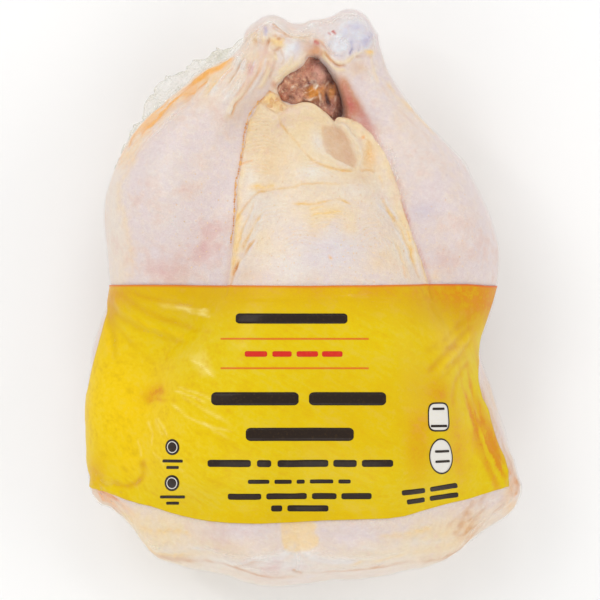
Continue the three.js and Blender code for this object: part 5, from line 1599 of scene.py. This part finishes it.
def makeFrill():  # crumpled strips of spare film that start inside the bag's side and stand out of it
    points, faces, hazeAndGlint = [], [], []
    rows, columns = frill["rows"], frill["columns"]
    s = np.linspace(0, 1, columns)
    corners = np.array(frill["outer"])
    stops = np.concatenate([[0], np.cumsum(np.linalg.norm(np.diff(corners, axis=0), axis=1))])
    sharp = np.stack([np.interp(s, stops / stops[-1], corners[:, k]) for k in range(2)], 1)
    smooth = curve(frill["outer"][::3] + frill["outer"][-1:], columns)
    way = np.gradient(smooth, axis=0)
    way /= np.linalg.norm(way, axis=1, keepdims=True)
    inward = np.stack([way[:, 1], -way[:, 0]], 1)
    t = np.linspace(0, 1, rows)[:, None]
    along = np.column_stack([s * 110, s * 0, s * 0])
    for seed, share, height in frill["layers"]:
        bitten = 1 - 0.2 * (1 + lumps(along, 5, seed)) - 0.2 * (1 + lumps(along, 1.6, seed + 1))
        width = frill["inside"] + 9 * np.sin(np.pi * np.clip(s, 0.02, 0.98)) ** 0.5
        base = smooth + inward * width[:, None]
        reach = share * bitten if share < 1 else 1 - 0.3 * (1 - bitten)
        plan = base[None] + (sharp - base)[None] * (t * reach)[..., None]
        place = np.column_stack([plan.reshape(-1, 2), np.zeros(rows * columns)])
        drawn = np.column_stack([0.4 * (place[:, 0] + place[:, 1]), 0.8 * (place[:, 0] - place[:, 1]), place[:, 2] * 0])
        folds = 1.6 - 4.5 * np.abs(lumps(drawn + (seed, 0, 0), 5.5, seed + 2))
        folds -= 0.9 * np.abs(lumps(drawn, 3.0, seed + 3))
        fan = 1.2 - 4 * np.abs(lumps(along, 8.5, seed + 6)) - 1.2 * np.abs(lumps(along, 3.6, seed + 7))
        fan = fan[None] * 1.2 * t ** 1.3
        z = height - 3 * (1 - t) + (folds.reshape(rows, columns) + fan) * smoothStep(t, 0.05, 0.6)
        place[:, 2] = z.reshape(-1)
        faces += (slabFaces(rows, columns) + len(points) * rows * columns * 2).tolist()
        points.append(np.vstack([place, place - (0, 0, 0.1)]))
        bend = np.abs(np.gradient(np.gradient(z, axis=1), axis=1)) + np.abs(np.gradient(np.gradient(z, axis=0), axis=0))
        mistAndGlint = 0.08 + 0.3 * smoothStep(t, 0.93, 1.0) + np.clip(bend * 0.7, 0, 0.55)
        hazeAndGlint.append(np.tile(mistAndGlint.reshape(-1), 2))
    return makeObject("filmFrill", np.vstack(points), faces, finishes["frill"], {"hazeAndGlint": np.concatenate(hazeAndGlint)})


frillObject = makeFrill()
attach(frillObject, "root")
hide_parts("bagged_chicken")
print("film frill ready")

stage = {
    "floorTint": (0.95, 0.95, 0.945, 1), "floorSize": 8.0, "distance": 4.0, "seenAcross": 0.2615, "seenHeight": 0.048,
    "middle": (-0.0005, 0.0012), "skyLow": 0.92, "skyHigh": 0.62, "lampsAim": (0, 0, 0.05), "sensor": 36,
    "lamps": [  # name, place, width, length, power
        ("keyLamp", (-1.1, 1.2, 1.7), 1.4, 1.4, 8.6), ("crossLamp", (1.5, 0.2, 1.5), 1.2, 1.2, 5.2),
        ("lowLamp", (-0.2, -1.8, 1.3), 1.4, 1.4, 7),
        ("leftStrip", (-0.9, 0.5, 1.9), 0.05, 0.8, 2.4), ("topStrip", (0.3, 1.1, 1.8), 0.8, 0.05, 2.2)],
}


def makeFloor():
    m = Paint("paleFloor")
    grain = m.noise(m.place(), 9, 2, 0.5)
    colour = m.mix(grain * 0.05, stage["floorTint"], (0.9, 0.9, 0.9, 1))
    material = m.finish(m.add("ShaderNodeBsdfPrincipled", None, {"Base Color": colour, "Roughness": 0.9}))
    half = stage["floorSize"] / 2
    mesh = bpy.data.meshes.new("floor")
    mesh.from_pydata([(-half, -half, 0), (half, -half, 0), (half, half, 0), (-half, half, 0)], [], [(0, 1, 2, 3)])
    mesh.materials.append(material)
    floor = addToScene("floor", mesh)


def makeLamps():
    for name, place, width, length, power in stage["lamps"]:
        light = bpy.data.lights.new(name, "AREA")
        light.shape, light.energy = "ELLIPSE", power
        light.size, light.size_y = width, length
        thing = addToScene(name, light)
        thing.location = place
        thing.rotation_euler = (Vector(stage["lampsAim"]) - Vector(place)).to_track_quat("-Z", "Y").to_euler()


def makeSky():  # bright walls, a darker ceiling
    sky = bpy.data.worlds.new("studio")
    sky.use_nodes = True
    tree = sky.node_tree
    where = tree.nodes.new("ShaderNodeTexCoord")
    split = tree.nodes.new("ShaderNodeSeparateXYZ")
    change = tree.nodes.new("ShaderNodeMapRange")
    tree.links.new(where.outputs["Generated"], split.inputs[0])
    tree.links.new(split.outputs["Z"], change.inputs["Value"])
    span = {"From Min": 0.35, "From Max": 0.9, "To Min": stage["skyLow"], "To Max": stage["skyHigh"]}
    for key, value in span.items():
        change.inputs[key].default_value = value
    tree.nodes["Background"].inputs["Color"].default_value = (1, 1, 1, 1)
    tree.links.new(change.outputs["Result"], tree.nodes["Background"].inputs["Strength"])
    bpy.context.scene.world = sky


def makeCamera():
    data = bpy.data.cameras.new("camera")
    data.sensor_width = stage["sensor"]
    data.lens = stage["sensor"] * (stage["distance"] - stage["seenHeight"]) / stage["seenAcross"]
    camera = addToScene("camera", data)
    camera.location = (*stage["middle"], stage["distance"])
    bpy.context.scene.camera = camera


makeFloor()
makeLamps()
makeSky()
makeCamera()
